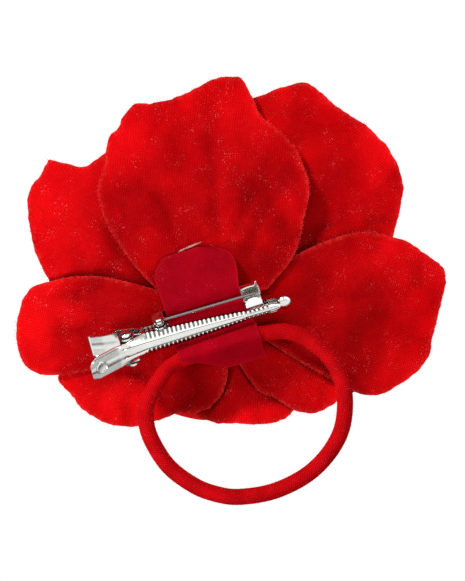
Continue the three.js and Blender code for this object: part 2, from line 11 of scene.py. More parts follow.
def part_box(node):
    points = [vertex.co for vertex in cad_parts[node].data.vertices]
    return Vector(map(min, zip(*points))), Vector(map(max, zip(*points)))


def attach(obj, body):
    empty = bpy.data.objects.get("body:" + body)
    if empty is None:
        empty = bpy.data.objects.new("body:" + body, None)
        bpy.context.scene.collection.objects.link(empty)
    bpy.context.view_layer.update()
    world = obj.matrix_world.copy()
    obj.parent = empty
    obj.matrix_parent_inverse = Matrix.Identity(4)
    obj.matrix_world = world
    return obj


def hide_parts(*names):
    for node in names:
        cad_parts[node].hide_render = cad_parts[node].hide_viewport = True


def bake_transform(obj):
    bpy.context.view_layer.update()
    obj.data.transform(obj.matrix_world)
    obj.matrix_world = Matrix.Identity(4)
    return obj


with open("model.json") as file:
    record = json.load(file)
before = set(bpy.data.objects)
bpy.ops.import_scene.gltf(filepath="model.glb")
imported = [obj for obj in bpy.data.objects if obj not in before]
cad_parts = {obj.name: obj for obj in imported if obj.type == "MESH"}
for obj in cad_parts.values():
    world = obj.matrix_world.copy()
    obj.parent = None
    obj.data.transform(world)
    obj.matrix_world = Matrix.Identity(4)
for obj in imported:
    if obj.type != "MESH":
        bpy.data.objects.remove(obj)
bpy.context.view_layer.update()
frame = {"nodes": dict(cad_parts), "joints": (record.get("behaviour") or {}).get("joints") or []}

MM = 0.001


def mm(point):
    """A point of the frame, from metres to millimetres."""
    return np.array(point, float) / MM


def unit(vectors):
    """The same vectors with length 1."""
    vectors = np.asarray(vectors, float)
    return vectors / np.linalg.norm(vectors, axis=-1, keepdims=True)


# ---- frame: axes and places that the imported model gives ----
JOINTS = {joint["name"]: joint for joint in frame["joints"]}
ALONG = -unit(JOINTS["elastic_swing"]["axis"])  # along the clip, from its levers to its tip
ACROSS = -unit(JOINTS["pin_hinge"]["axis"])  # across the clip, towards the bar pin
OUT = np.cross(ALONG, ACROSS)  # out of the upper jaw
UP_ROSE = np.cross(ALONG, (0.0, 1.0, 0.0))  # up the rose's back, at right angles to the clip
UP_ROSE *= np.sign(UP_ROSE[2])


def clip_point(along, across, out):
    """A point in the clip's own axes, in the frame."""
    return along * ALONG + across * ACROSS + out * OUT


def rose_point(along, up, back):
    """A point given along the clip, up the rose's back, and towards +Y."""
    return along * ALONG + up * UP_ROSE + np.array((0.0, back, 0.0))


def in_clip(point):
    """A point of the frame in the clip's own axes."""
    return np.array((point @ ALONG, point @ ACROSS, point @ OUT))


PIN = in_clip(mm(JOINTS["pin_hinge"]["pos_m"]))

# The jaws sit a little askew on the bar, so they have their own axes, which go through their pivot.
JAW_ACROSS = -unit(JOINTS["jaw_hinge"]["axis"])
JAW_ALONG = np.cross(JAW_ACROSS, OUT)
PIVOT_X, PIVOT_Z = -22.35, 0.9
PIVOT_PLACE = mm(JOINTS["jaw_hinge"]["pos_m"])


def jaw_point(along, across, out):
    """A point in the jaws' own axes, in the frame."""
    return PIVOT_PLACE + (along - PIVOT_X) * JAW_ALONG + across * JAW_ACROSS + (out - PIVOT_Z) * OUT


stem_low, stem_high = (mm(corner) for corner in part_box("rose_core"))
ROSE_X, ROSE_Z = (stem_low[0] + stem_high[0]) / 2, (stem_low[2] + stem_high[2]) / 2
ROSE_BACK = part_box("outer_petal_1")[0].y / MM

# ---- camera ----
CAMERA_DISTANCE, FRAME_HEIGHT = 1.5, 0.1366
PICTURE_X, PICTURE_Z = 0.00294, 0.00693  # the middle of the picture
SENSOR = 36.0


def make_camera():
    data = bpy.data.cameras.new("camera")
    data.sensor_width = SENSOR
    data.lens = SENSOR * CAMERA_DISTANCE / FRAME_HEIGHT
    data.clip_start, data.clip_end = 0.01, 20.0
    camera = bpy.data.objects.new("camera", data)
    camera.location = (PICTURE_X, -CAMERA_DISTANCE, PICTURE_Z)
    camera.rotation_euler = (math.radians(90), 0, 0)
    bpy.context.scene.collection.objects.link(camera)
    bpy.context.scene.camera = camera


make_camera()


# ---- mesh helpers ----
def smooth(value, low, high):
    """0 below low, 1 above high, and an even curve between them."""
    t = np.clip((value - low) / (high - low), 0, 1)
    return t * t * (3 - 2 * t)


def make_object(name, points, faces, uv=None, sharp_deg=50, values=None):
    """A mesh object from points in millimetres, facing outwards. uv and values have one entry per point."""
    points = np.asarray(points, float)
    mesh = bpy.data.meshes.new(name)
    mesh.from_pydata((points * MM).tolist(), [], faces)
    if signed_volume(mesh) < 0:
        mesh.flip_normals()
    mesh.shade_smooth()
    mesh.set_sharp_from_angle(angle=math.radians(sharp_deg))
    if uv is not None:
        layer = mesh.uv_layers.new(name="cloth")
        corners = np.zeros(len(mesh.loops), int)
        mesh.loops.foreach_get("vertex_index", corners)
        layer.data.foreach_set("uv", np.asarray(uv, np.float32)[corners].ravel())
    for key, numbers in (values or {}).items():
        attribute = mesh.attributes.new(key, "FLOAT", "POINT")
        attribute.data.foreach_set("value", np.asarray(numbers, np.float32))
    mesh.update()
    made = bpy.data.objects.new(name, mesh)
    bpy.context.scene.collection.objects.link(made)
    return made


def signed_volume(mesh):
    mesh.calc_loop_triangles()
    corners = np.zeros(len(mesh.loop_triangles) * 3, int)
    mesh.loop_triangles.foreach_get("vertices", corners)
    co = np.zeros(len(mesh.vertices) * 3)
    mesh.vertices.foreach_get("co", co)
    a, b, c = co.reshape(-1, 3)[corners.reshape(-1, 3)].transpose(1, 0, 2)
    return float(np.einsum("ij,ij->i", a, np.cross(b, c)).sum())


def sheet_faces(rows, cols):
    """Faces of a closed sheet whose front grid comes first and its back grid second."""
    def at(i, j):
        return i * cols + j

    under = rows * cols
    faces = []
    for i in range(rows - 1):
        for j in range(cols - 1):
            quad = (at(i, j), at(i + 1, j), at(i + 1, j + 1), at(i, j + 1))
            faces.append(quad)
            faces.append(tuple(k + under for k in reversed(quad)))
    rim = [at(i, 0) for i in range(rows - 1)] + [at(rows - 1, j) for j in range(cols - 1)]
    rim += [at(i, cols - 1) for i in range(rows - 1, 0, -1)] + [at(0, j) for j in range(cols - 1, 0, -1)]
    for p, q in zip(rim, rim[1:] + rim[:1]):
        faces.append((q, p, p + under, q + under))
    return faces


def closed_sheet(name, front, back, uv=None, sharp_deg=50, values=None):
    front, back = np.asarray(front, float), np.asarray(back, float)
    rows, cols = front.shape[:2]
    points = np.concatenate([front.reshape(-1, 3), back.reshape(-1, 3)])
    both = None if uv is None else np.tile(np.asarray(uv).reshape(-1, 2), (2, 1))
    doubled = {key: np.tile(np.asarray(v).ravel(), 2) for key, v in (values or {}).items()}
    return make_object(name, points, sheet_faces(rows, cols), both, sharp_deg, doubled)


def spline(points, per_span):
    """Points along a uniform Catmull-Rom curve through the given ones."""
    points = np.asarray(points, float)
    padded = np.vstack([points[0], points, points[-1]])
    t = np.linspace(0, 1, per_span, endpoint=False)[:, None]
    spans = []
    for a, b, c, d in zip(padded, padded[1:], padded[2:], padded[3:]):
        v0, v1 = (c - a) / 2, (d - b) / 2
        spans.append((2 * b - 2 * c + v0 + v1) * t**3 + (3 * c - 3 * b - 2 * v0 - v1) * t**2 + v0 * t + b)
    return np.vstack(spans + [points[-1:]])


def run_of(points):
    """How far along the line each of its points is."""
    return np.concatenate([[0], np.cumsum(np.linalg.norm(np.diff(points, axis=0), axis=1))])


def tangents_of(line):
    return unit(np.gradient(line, axis=0))


def resample(points, step):
    """The same line with evenly spaced points."""
    points = np.asarray(points, float)
    run = run_of(points)
    at = np.linspace(0, run[-1], max(2, int(round(run[-1] / step)) + 1))
    return np.column_stack([np.interp(at, run, column) for column in points.T])


def tube_frames(path, normal=(0, 1, 0)):
    """Two unit vectors across the path at each point, carried along it without twist."""
    tangents = tangents_of(path)
    side = np.array(normal, float)
    sides = []
    for t in tangents:
        side = unit(side - (side @ t) * t)
        sides.append(side)
    sides = np.array(sides)
    return sides, np.cross(tangents, sides)


def circle(count):
    """Angles evenly round a circle."""
    return np.arange(count) * 2 * math.pi / count


def stacked(name, rings, sharp_deg=50):
    """A closed body through rings of equally many points, with flat ends."""
    points, count = np.vstack(rings), len(rings[0])
    last = len(points) - 1
    faces = [tuple(range(count)), tuple(range(last, last - count, -1))]
    for a in range(0, len(points) - count, count):
        for j in range(count):
            n = (j + 1) % count
            faces.append((a + n, a + j, a + count + j, a + count + n))
    return make_object(name, points, faces, sharp_deg=sharp_deg)


def pointed(name, start, rings, end, uv=None, sharp_deg=50):
    """A closed body from one point through rings of equally many points to another point."""
    points, count = np.vstack([[start], *rings, [end]]), len(rings[0])
    last_ring = len(points) - 1 - count
    faces = []
    for j in range(count):
        n = (j + 1) % count
        faces.append((0, 1 + n, 1 + j))
        faces += [(a + j, a + n, a + count + n, a + count + j) for a in range(1, last_ring, count)]
        faces.append((last_ring + j, last_ring + n, len(points) - 1))
    return make_object(name, points, faces, uv, sharp_deg)


TUBE_END = 0.35  # how far a tube's ends stand out, as a share of its radius


def tube(name, path, radius, sides, normal=(0, 1, 0), ridges=None, sharp_deg=50):
    """A closed round tube. radius is one number or one for each point, and ridges(k, angles) scales it."""
    radius = np.broadcast_to(np.asarray(radius, float), (len(path),))
    u, v = tube_frames(path, normal)
    angles = circle(sides)
    rings = []
    for k, middle in enumerate(path):
        scale = np.ones(sides) if ridges is None else ridges(k, angles)
        around = np.cos(angles)[:, None] * u[k] + np.sin(angles)[:, None] * v[k]
        rings.append(middle + around * (radius[k] * scale)[:, None])
    way = np.cross(u, v) * radius[:, None] * TUBE_END
    uv = [(a * r, run) for r, run in zip(radius, run_of(path)) for a in angles]
    return pointed(name, path[0] - way[0], rings, path[-1] + way[-1], [(0, 0), *uv, (0, 0)], sharp_deg)


def turned(name, profile, centre, axis, side, segments=48):
    """A turned piece from [radius, place along the axis] pairs that start and end on the axis."""
    third = np.cross(axis, side)
    around = [math.cos(a) * side + math.sin(a) * third for a in circle(segments)]
    rings = [[centre + axis * at + radius * way for way in around] for radius, at in profile[1:-1]]
    start, end = (centre + axis * profile[k][1] for k in (0, -1))
    return pointed(name, start, rings, end, sharp_deg=40)


def with_modifiers(obj):
    """Applies the object's modifiers to its mesh."""
    bpy.context.view_layer.update()
    graph = bpy.context.evaluated_depsgraph_get()
    made = bpy.data.meshes.new_from_object(obj.evaluated_get(graph))
    obj.modifiers.clear()
    obj.data = made
    return obj


def combine(obj, others, operation="UNION"):
    """Joins the others to obj, or cuts them out of it, as solids."""
    for other in others:
        step = obj.modifiers.new(operation.lower(), "BOOLEAN")
        step.operation, step.solver, step.object = operation, "EXACT", other
    with_modifiers(obj)
    for other in others:
        bpy.data.objects.remove(other)


def round_edges(obj, width_mm):
    """Small round bevels on the sharp edges."""
    bevel = obj.modifiers.new("round_edges", "BEVEL")
    bevel.width, bevel.segments = width_mm * MM, 2
    bevel.limit_method, bevel.angle_limit = "ANGLE", math.radians(35)
    return with_modifiers(obj)


def wobble(point, size, seed=0.0):
    """Smooth noise from -1 to 1 at a place in millimetres, with features of that size."""
    x, y, z = (float(c) / size for c in point)
    return noise.noise(Vector((x + seed, y - seed, z + 0.37 * seed)))


def wobbles(flat_points, size, seed):
    """The noise at each of some points in a plane."""
    return np.array([wobble((x, z, 0), size, seed) for x, z in flat_points])


def finished(obj, material, body, slot, *nodes):
    """Gives a piece its material and the body that it rides on, and hides the nodes that it stands for; slot
    is not used.
    """
    obj.data.materials.clear()
    obj.data.materials.append(material)
    if body:
        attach(obj, body)
    if nodes:
        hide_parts(*nodes)


# ---- materials ----
class Shader:
    """A node material with short calls for the nodes used here."""

    def __init__(self, name):
        self.material = bpy.data.materials.new(name)
        self.material.use_nodes = True
        self.nodes, self.links = self.material.node_tree.nodes, self.material.node_tree.links
        self.surface = self.nodes["Principled BSDF"]

    def node(self, kind, inputs=None, **settings):
        made = self.nodes.new(kind)
        for key, value in settings.items():
            setattr(made, key, value)
        for key, value in (inputs or {}).items():
            self.put(made.inputs[key], value)
        return made

    def put(self, socket, value):
        if isinstance(value, bpy.types.NodeSocket):
            self.links.new(value, socket)
        else:
            socket.default_value = value

    def math(self, operation, a, b=0.0, c=0.0):
        made = self.node("ShaderNodeMath", operation=operation)
        for socket, value in zip(made.inputs, (a, b, c)):
            self.put(socket, value)
        return made.outputs[0]

    def times(self, a, b):
        return self.math("MULTIPLY", a, b)

    def mix(self, factor, a, b):
        made = self.node("ShaderNodeMix", data_type="RGBA")
        self.put(made.inputs[0], factor)
        self.put(made.inputs[6], a)
        self.put(made.inputs[7], b)
        return made.outputs[2]

    def noise(self, scale, detail=3.0, rough=0.5):
        place = self.node("ShaderNodeTexCoord").outputs["Object"]
        inputs = {"Vector": place, "Scale": scale, "Detail": detail, "Roughness": rough}
        return self.node("ShaderNodeTexNoise", inputs).outputs["Fac"]

    def attribute(self, name):
        """A named value of the mesh's points."""
        return self.node("ShaderNodeAttribute", attribute_name=name).outputs["Fac"]

    def openness(self, distance_mm):
        """1 on open surfaces and less in corners and gaps."""
        made = self.node("ShaderNodeAmbientOcclusion", {"Distance": distance_mm * MM}, samples=8)
        return made.outputs["AO"]

    def ramp(self, value, low, high):
        """0 at low and 1 at high, and even between them."""
        inputs = {"Value": value, "From Min": low, "From Max": high}
        return self.node("ShaderNodeMapRange", inputs, clamp=True).outputs[0]

    def uv(self):
        place = self.node("ShaderNodeUVMap", uv_map="cloth").outputs[0]
        made = self.node("ShaderNodeSeparateXYZ", {"Vector": place})
        return made.outputs[0], made.outputs[1]

    def wave(self, value, pitch_mm):
        """A sine of a length in millimetres, from 0 to 1."""
        angle = self.times(value, 2 * math.pi / pitch_mm)
        return self.math("MULTIPLY_ADD", self.math("SINE", angle), 0.5, 0.5)

    def bump(self, height, distance_mm, strength=1.0, after=None):
        inputs = {"Height": height, "Distance": distance_mm * MM, "Strength": strength}
        made = self.node("ShaderNodeBump", inputs)
        if after is not None:
            self.put(made.inputs["Normal"], after)
        return made.outputs[0]

    def set(self, **sockets):
        for key, value in sockets.items():
            self.put(self.surface.inputs[key.replace("_", " ")], value)
        return self.material


def rgb(r, g, b):
    """sRGB 0 to 255 as linear colour."""
    linear = [((c / 255 + 0.055) / 1.055) ** 2.4 if c > 10 else c / 255 / 12.92 for c in (r, g, b)]
    return (*linear, 1.0)


def petal_cloth():
    """Thin woven polyester: bright threads over deep red, paler at its cut edges, with painted shade near its
    root and in corners.
    """
    s = Shader("petal_cloth")
    u, v = s.uv()
    warp = s.wave(s.math("MULTIPLY_ADD", v, 0.45, u), 0.62)
    weft = s.wave(s.math("MULTIPLY_ADD", u, -0.45, v), 0.5)
    weave = s.times(warp, weft)
    slub = s.noise(900, 2)
    # painted fold shade: the petals' red in random brighter and darker patches
    fold_shade_patches = s.ramp(s.noise(48, 5, 0.62), 0.36, 0.64)
    patch_shaded = s.mix(fold_shade_patches, rgb(222, 0, 6), rgb(255, 8, 14))
    # painted shade towards the petal's root and along its crease valleys, read from the root attribute
    root = s.attribute("root")
    base = s.mix(s.times(root, s.ramp(s.noise(80, 4), 0.2, 0.5)), patch_shaded, rgb(180, 0, 5))
    floats = s.times(s.ramp(weave, 0.45, 0.95), s.ramp(slub, 0.45, 0.68))
    woven = s.mix(s.times(floats, 0.3), base, rgb(255, 64, 70))
    low = s.mix(s.times(s.ramp(weave, 0.3, 0.0), 0.3), woven, rgb(150, 0, 6))
    speck = s.times(s.ramp(s.noise(3200, 1), 0.66, 0.74), s.ramp(s.noise(240, 3), 0.5, 0.66))
    specked = s.mix(s.times(speck, 0.45), low, rgb(255, 150, 150))
    edge = s.attribute("edge")
    frayed = s.times(edge, s.ramp(s.noise(1500, 2), 0.35, 0.7))
    rimmed = s.mix(s.times(frayed, 0.5), specked, rgb(255, 70, 66))
    # painted shade: the cloth darkens in corners and in gaps between petals
    shade = s.times(s.ramp(s.openness(3.0), 0.85, 0.35), 0.9)
    folds = s.bump(s.noise(160, 5, 0.62), 0.7, 0.6)
    return s.set(
        Base_Color=s.mix(shade, rimmed, rgb(96, 0, 4)),
        Roughness=s.math("MULTIPLY_ADD", slub, 0.25, 0.62),
        Specular_IOR_Level=0.03,
        Sheen_Weight=0.1,
        Sheen_Roughness=0.45,
        Sheen_Tint=rgb(255, 12, 16),
        Normal=s.bump(weave, 0.06, 0.8, folds),
    )


def ribbon_cloth():
    """Satin ribbon: fine weft ribs, bluer and darker than the petals."""
    s = Shader("ribbon_cloth")
    u, v = s.uv()
    ribs = s.wave(v, 0.42)
    threads = s.wave(u, 0.3)
    tone = s.ramp(s.noise(110, 4), 0.3, 0.7)
    base = s.mix(tone, rgb(150, 0, 16), rgb(182, 0, 24))
    woven = s.times(ribs, threads)
    shine = s.mix(s.times(woven, 0.14), base, rgb(236, 36, 60))
    speck = s.times(s.ramp(s.noise(3000, 1), 0.66, 0.75), s.ramp(s.noise(260, 3), 0.52, 0.66))
    specked = s.mix(s.times(speck, 0.4), shine, rgb(255, 110, 130))
    edge = s.attribute("edge")
    colour = s.mix(s.times(edge, 0.25), specked, rgb(220, 30, 44))
    wrinkle = s.bump(s.noise(220, 4), 0.4, 0.4)
    return s.set(
        Base_Color=colour,
        Roughness=s.math("MULTIPLY_ADD", tone, 0.12, 0.5),
        Specular_IOR_Level=0.015,
        Normal=s.bump(s.math("MULTIPLY_ADD", threads, 0.35, ribs), 0.05, 0.7, wrinkle),
    )


def elastic_knit():
    """Braided cover of a hair elastic: fine slanted stitches over soft fuzz."""
    s = Shader("elastic_knit")
    u, v = s.uv()
    slant = s.wave(s.math("MULTIPLY_ADD", u, 0.6, v), 0.62)
    rows = s.wave(u, 0.5)
    stitch = s.times(slant, rows)
    fuzz = s.noise(2200, 3)
    base = s.mix(s.ramp(s.noise(200, 4), 0.3, 0.7), rgb(186, 0, 8), rgb(226, 4, 14))
    raised = s.mix(s.times(s.ramp(stitch, 0.35, 0.9), 0.25), base, rgb(255, 56, 62))
    colour = s.mix(s.times(s.ramp(stitch, 0.2, 0.0), 0.4), raised, rgb(150, 0, 8))
    soft = s.bump(fuzz, 0.08, 0.6)
    return s.set(
        Base_Color=colour,
        Roughness=s.math("MULTIPLY_ADD", fuzz, 0.2, 0.7),
        Specular_IOR_Level=0.03,
        Sheen_Weight=0.06,
        Sheen_Roughness=0.4,
        Sheen_Tint=rgb(255, 30, 34),
        Normal=s.bump(stitch, 0.08, 0.8, soft),
    )


def thread(name, colour):
    """Loose fibres at cut edges and on the elastic's cover."""
    s = Shader(name)
    tone = s.mix(s.noise(700, 2), colour, rgb(255, 96, 92))
    return s.set(Base_Color=tone, Roughness=0.75, Sheen_Weight=0.2, Specular_IOR_Level=0.2)


def nickel(name, colour, rough):
    """Bright plated sheet or wire: faint rolling marks and smudges, with painted shade in its grooves and
    corners.
    """
    s = Shader(name)
    smudge = s.noise(420, 4, 0.6)
    pits = s.noise(2600, 2)
    tone = s.mix(s.ramp(smudge, 0.35, 0.75), (*colour, 1.0), (*(c * 0.88 for c in colour), 1.0))
    # painted shade: dark lines along the jaws' tooth grooves, notches, stamped line and rim bends
    groove_shaded = s.mix(s.times(s.ramp(s.attribute("painted_groove_shade"), 0.15, 0.75), 0.85), tone, rgb(38, 34, 32))
    # painted shade: near black in corners and gaps
    corner_shaded = s.mix(s.ramp(s.openness(0.9), 0.3, 0.85), rgb(22, 20, 20), groove_shaded)
    return s.set(
        Base_Color=corner_shaded,
        Metallic=1.0,
        Roughness=s.math("MULTIPLY_ADD", s.ramp(smudge, 0.3, 0.8), 0.1, rough),
        Normal=s.bump(s.math("ADD", smudge, s.times(pits, 0.4)), 0.02, 0.5),
    )


def hot_glue():
    """Cooled hot-melt glue: cloudy and glossy, with a slow ripple."""
    s = Shader("hot_glue")
    cloud = s.noise(500, 3)
    colour = s.mix(cloud, rgb(232, 176, 166), rgb(200, 96, 90))
    return s.set(
        Base_Color=colour,
        Roughness=s.math("MULTIPLY_ADD", cloud, 0.1, 0.12),
        Subsurface_Weight=0.2,
        Subsurface_Scale=0.002,
        Coat_Weight=0.5,
        Normal=s.bump(cloud, 0.3, 0.5),
    )


def stem_plastic():
    s = Shader("stem_plastic")
    grain = s.noise(900, 3)
    return s.set(
        Base_Color=s.mix(grain, rgb(96, 4, 12), rgb(124, 8, 18)),
        Roughness=s.math("MULTIPLY_ADD", grain, 0.2, 0.5),
        Normal=s.bump(grain, 0.05, 0.5),
    )


CLOTH = petal_cloth()
RIBBON_CLOTH = ribbon_cloth()
KNIT = elastic_knit()
PETAL_THREAD = thread("petal_thread", rgb(226, 14, 18))
KNIT_THREAD = thread("knit_thread", rgb(206, 10, 20))
PLATE = nickel("nickel_plate", (0.87, 0.87, 0.83), 0.1)
STEEL = nickel("spring_steel", (0.55, 0.56, 0.57), 0.24)
# a darker copy of the plated nickel for the pin wire: painted shade
SHADED_PIN_STEEL = nickel("shaded_pin_steel", (0.24, 0.2, 0.2), 0.2)
GLUE = hot_glue()
STEM = stem_plastic()

# ---- clip jaws ----
# Rows: along the clip, height of the outer face, half width over the flanges, half width of the flat middle,
# height of the flanges' edge.
UPPER_ROWS = [
    (-32.3, 6.75, 1.7, 1.0, 6.75), (-31.7, 6.5, 2.5, 1.6, 6.5), (-30.6, 6.05, 2.9, 1.9, 6.05),
    (-27.0, 4.6, 2.9, 1.9, 4.6), (-25.0, 3.8, 2.9, 1.9, 3.8), (-23.0, 3.15, 2.95, 1.7, 3.05),
    (-20.5, 2.8, 3.0, 1.5, 1.9), (-18.0, 2.35, 2.95, 1.3, 0.8), (-8.5, 1.9, 2.45, 1.2, 0.75),
    (-1.0, 1.6, 1.95, 0.95, 0.75), (5.8, 1.35, 1.3, 0.6, 0.75), (6.4, 1.15, 1.05, 0.6, 0.7),
    (12.8, 1.05, 1.05, 0.55, 0.65), (13.8, 1.0, 0.85, 0.45, 0.75), (14.5, 0.9, 0.4, 0.2, 0.85),
]
LOWER_ROWS = [
    (-30.9, -5.0, 2.6, 1.7, -5.0), (-30.5, -4.85, 3.0, 1.9, -4.85), (-27.8, -3.8, 3.0, 1.9, -3.8),
    (-25.0, -2.95, 3.3, 2.2, -2.95), (-24.2, -2.75, 3.75, 2.4, -2.75), (-22.35, -2.2, 3.75, 2.4, -2.2),
    (-20.2, -1.85, 3.75, 2.0, -1.6), (-18.0, -1.75, 2.95, 1.5, -0.85), (-8.5, -1.75, 2.5, 1.4, -0.85),
    (-1.0, -1.7, 2.15, 1.2, -0.85), (5.8, -1.55, 1.4, 0.8, -0.85), (10.8, -1.5, 1.4, 0.8, -0.85),
    (11.6, -1.5, 1.9, 1.1, -0.85), (13.4, -1.4, 1.85, 1.1, -0.85), (14.6, -1.25, 1.2, 0.7, -0.85),
]
SHEET_METAL, LEVER_SLOPE, EDGE_ROUND = 0.4, 0.4, 0.06
TEETH_FROM, TEETH_TO, TOOTH_PITCH, TOOTH_DEPTH, GROOVE_DEPTH = -19.4, 12.8, 1.05, 0.45, 0.28
FLANGE_SHARES = (1.0, 0.93, 0.8, 0.62, 0.45, 0.3, 0.15, 0.0)
TOOTH_SAMPLES = 8
LEVER_RIM, RIM_SHADE = 0.5, 0.6  # the levers' long edges turn down, with a line of painted shade along the bend
LEVER_FADE, STAMP_FADE = (-25.6, -23.5), (-24.2, -23.2)  # the levers' rim ends here, the stamped line starts
STAMP_DEPTH, NOTCH_DEPTH, CROWN = 0.14, 0.16, 0.04
FLAT_SHARES = (0.9, 0.75, 0.6, 0.5, 0.4, 0.2)


def jaw_strip(name, rows, up):
    """The pressed strip of one jaw: a flat middle, a line stamped beside it, and flanges with teeth."""
    table = np.array(rows)
    start, end = table[0, 0], table[-1, 0]
    count = int((TEETH_TO - TEETH_FROM) / TOOTH_PITCH)
    toothed = TEETH_FROM + np.arange(count * TOOTH_SAMPLES + 1) * TOOTH_PITCH / TOOTH_SAMPLES
    places = [*np.arange(start, TEETH_FROM - 0.1, 0.3), *toothed, *np.linspace(toothed[-1] + 0.15, end, 9)]
    outer, inner, painted_groove_shade = [], [], []
    for x in places:
        top, half, flat, edge = (np.interp(x, table[:, 0], table[:, k]) for k in range(1, 5))
        phase = (x - TEETH_FROM) / TOOTH_PITCH
        gap = 0.5 - 0.5 * math.cos(2 * math.pi * phase) if toothed[0] <= x <= toothed[-1] else 0.0
        gap = smooth(gap, 0.3, 0.7) * smooth(x, TEETH_FROM, TEETH_FROM + 2.5)
        low = edge + up * TOOTH_DEPTH * gap
        rim = half - 0.1 * gap
        lever = smooth(x, start + 0.3, start + 1.6) * (1 - smooth(x, *LEVER_FADE))
        stamp = smooth(x, *STAMP_FADE)
        section, dark = [], []
        for side, line_at, teeth_to in ((-1, 0.5, 0.6), (1, 0.9, 1.0)):
            half_section = []
            for share in FLANGE_SHARES:
                pressed = gap * smooth(share, 0.08, 0.5) if side > 0 else gap
                z = top + (low - top) * share - up * GROOVE_DEPTH * pressed
                z -= up * LEVER_RIM * lever * smooth(share, 0.6, 1.0)
                # painted shade along the bend of the levers' rims
                rim_shade = lever * RIM_SHADE * (0.55 < share < 0.9)
                half_section.append((side * (flat + (rim - flat) * share), z, max(pressed, rim_shade)))
            for share in FLAT_SHARES:
                notch, line = gap * (share >= teeth_to), stamp * (share == line_at)
                z = top + up * (CROWN * (share < 0.3) - STAMP_DEPTH * line - NOTCH_DEPTH * notch)
                half_section.append((side * flat * share, z, max(notch, line)))
            half_section = half_section[::-side]
            section += [(y, z) for y, z, _ in half_section]
            dark += [d for _, _, d in half_section]
        # where shade is painted: the grooves between the teeth, the notches, the stamped line and the rims'
        # bend
        painted_groove_shade.append(dark)
        outer.append([jaw_point(x, y, z) for y, z in section])
        inner.append([jaw_point(x, y, z - up * SHEET_METAL) for y, z in section])
    return closed_sheet(name, outer, inner, sharp_deg=32, values={"painted_groove_shade": painted_groove_shade})


def standing_plate(name, outline, y0, y1, place=clip_point):
    """A plate across the clip from its outline in the clip's along and out axes."""
    return stacked(name, [[place(x, y, z) for x, z in outline] for y in (y0, y1)], 30)


def arc(centre, radius, start_deg, end_deg, count=24):
    angles = np.radians(np.linspace(start_deg, end_deg, count))
    return [(centre[0] + radius * math.cos(a), centre[1] + radius * math.sin(a)) for a in angles]


PIVOT_AT = (PIVOT_X, PIVOT_Z)
CHEEK_THICK, UPPER_CHEEK_AT, LOWER_CHEEK_AT = 0.4, 2.5, 3.3
BORE, BORE_HALF = 1.0, 6
FINGER_RING = [(0, -0.1), (1.5, -0.1), (1.5, 0.2), (1.4, 0.3), (1.2, 0.3), (1.08, 0.12), (0.3, 0.08),
               (0, 0.08)]
TIP_RADIUS, TIP_HALF, DOME_ANGLE = 1.72, 0.55, 1.35
RIVET_RADIUS, RIVET_HEAD, HEAD_FROM, HEAD_EDGE = 0.8, 1.35, 3.95, 4.23


def cheeks(y, outline):
    """The two side plates of a jaw, which its pivot goes through."""
    return [standing_plate("cheek", outline, y0, y0 + CHEEK_THICK, jaw_point) for y0 in (-y - CHEEK_THICK, y)]


def finished_jaw(plate, extras, body, node):
    """Joins a jaw's pieces, bores the pivot's hole and rounds the edges."""
    combine(plate, extras)
    bore = [(0, -BORE_HALF), (BORE, -BORE_HALF), (BORE, BORE_HALF), (0, BORE_HALF)]
    combine(plate, [turned("bore", bore, PIVOT_PLACE, JAW_ACROSS, JAW_ALONG)], "DIFFERENCE")
    finished(round_edges(plate, EDGE_ROUND), PLATE, body, "plated_metal", node)


def make_upper_jaw():
    strip = jaw_strip("jaw_upper_plate", UPPER_ROWS, 1)
    ears = cheeks(UPPER_CHEEK_AT, arc(PIVOT_AT, 1.75, 180, 360) + [(-20.7, 2.45), (-24.2, 3.25)])
    slope = math.atan(LEVER_SLOPE)
    lever_out = OUT * math.cos(slope) + JAW_ALONG * math.sin(slope)
    boss = turned("boss", FINGER_RING, jaw_point(-29.7, 0, 5.72), lever_out, JAW_ACROSS, 64)
    finished_jaw(strip, [*ears, boss], "jaw", "upper_jaw")


def make_lower_jaw():
    strip = jaw_strip("jaw_lower_plate", LOWER_ROWS, -1)
    ears = cheeks(LOWER_CHEEK_AT, arc(PIVOT_AT, 1.9, 0, 180) + [(-24.1, -2.55), (-20.4, -1.65)])
    bulge = np.linspace(-DOME_ANGLE, DOME_ANGLE, 15)
    dome = [(TIP_RADIUS * math.cos(a), TIP_HALF * math.sin(a)) for a in bulge]
    profile = [(0, -TIP_HALF), *dome, (0, TIP_HALF)]
    tip = turned("tip", profile, jaw_point(15.7, -0.35, -0.8), OUT, JAW_ALONG, 56)
    hem_line = [jaw_point(-30.8, y, -4.85) for y in np.linspace(-2.6, 2.6, 9)]
    finished_jaw(strip, [*ears, tip, tube("hem", hem_line, 0.36, 20, normal=OUT)], "root", "lower_jaw")


def make_pivot():
    head = [(RIVET_HEAD * math.cos(a), HEAD_EDGE + 0.5 * math.sin(a)) for a in np.linspace(0, 1.4, 8)]
    half = [(RIVET_RADIUS, HEAD_FROM), (RIVET_HEAD, HEAD_FROM)] + head
    top = HEAD_EDGE + 0.5
    profile = [(0, -top)] + [(r, -y) for r, y in reversed(half)] + half + [(0, top)]
    obj = turned("pivot_rivet", profile, PIVOT_PLACE, JAW_ACROSS, JAW_ALONG)
    finished(obj, PLATE, "root", "plated_metal", "jaw_pivot")


SPRING_RADIUS, SPRING_TURNS, SPRING_HALF, SPRING_LEG = 1.2, 3.5, 1.8, -27.0
SPRING_WIRE, TURN_STEPS = 0.25, 16


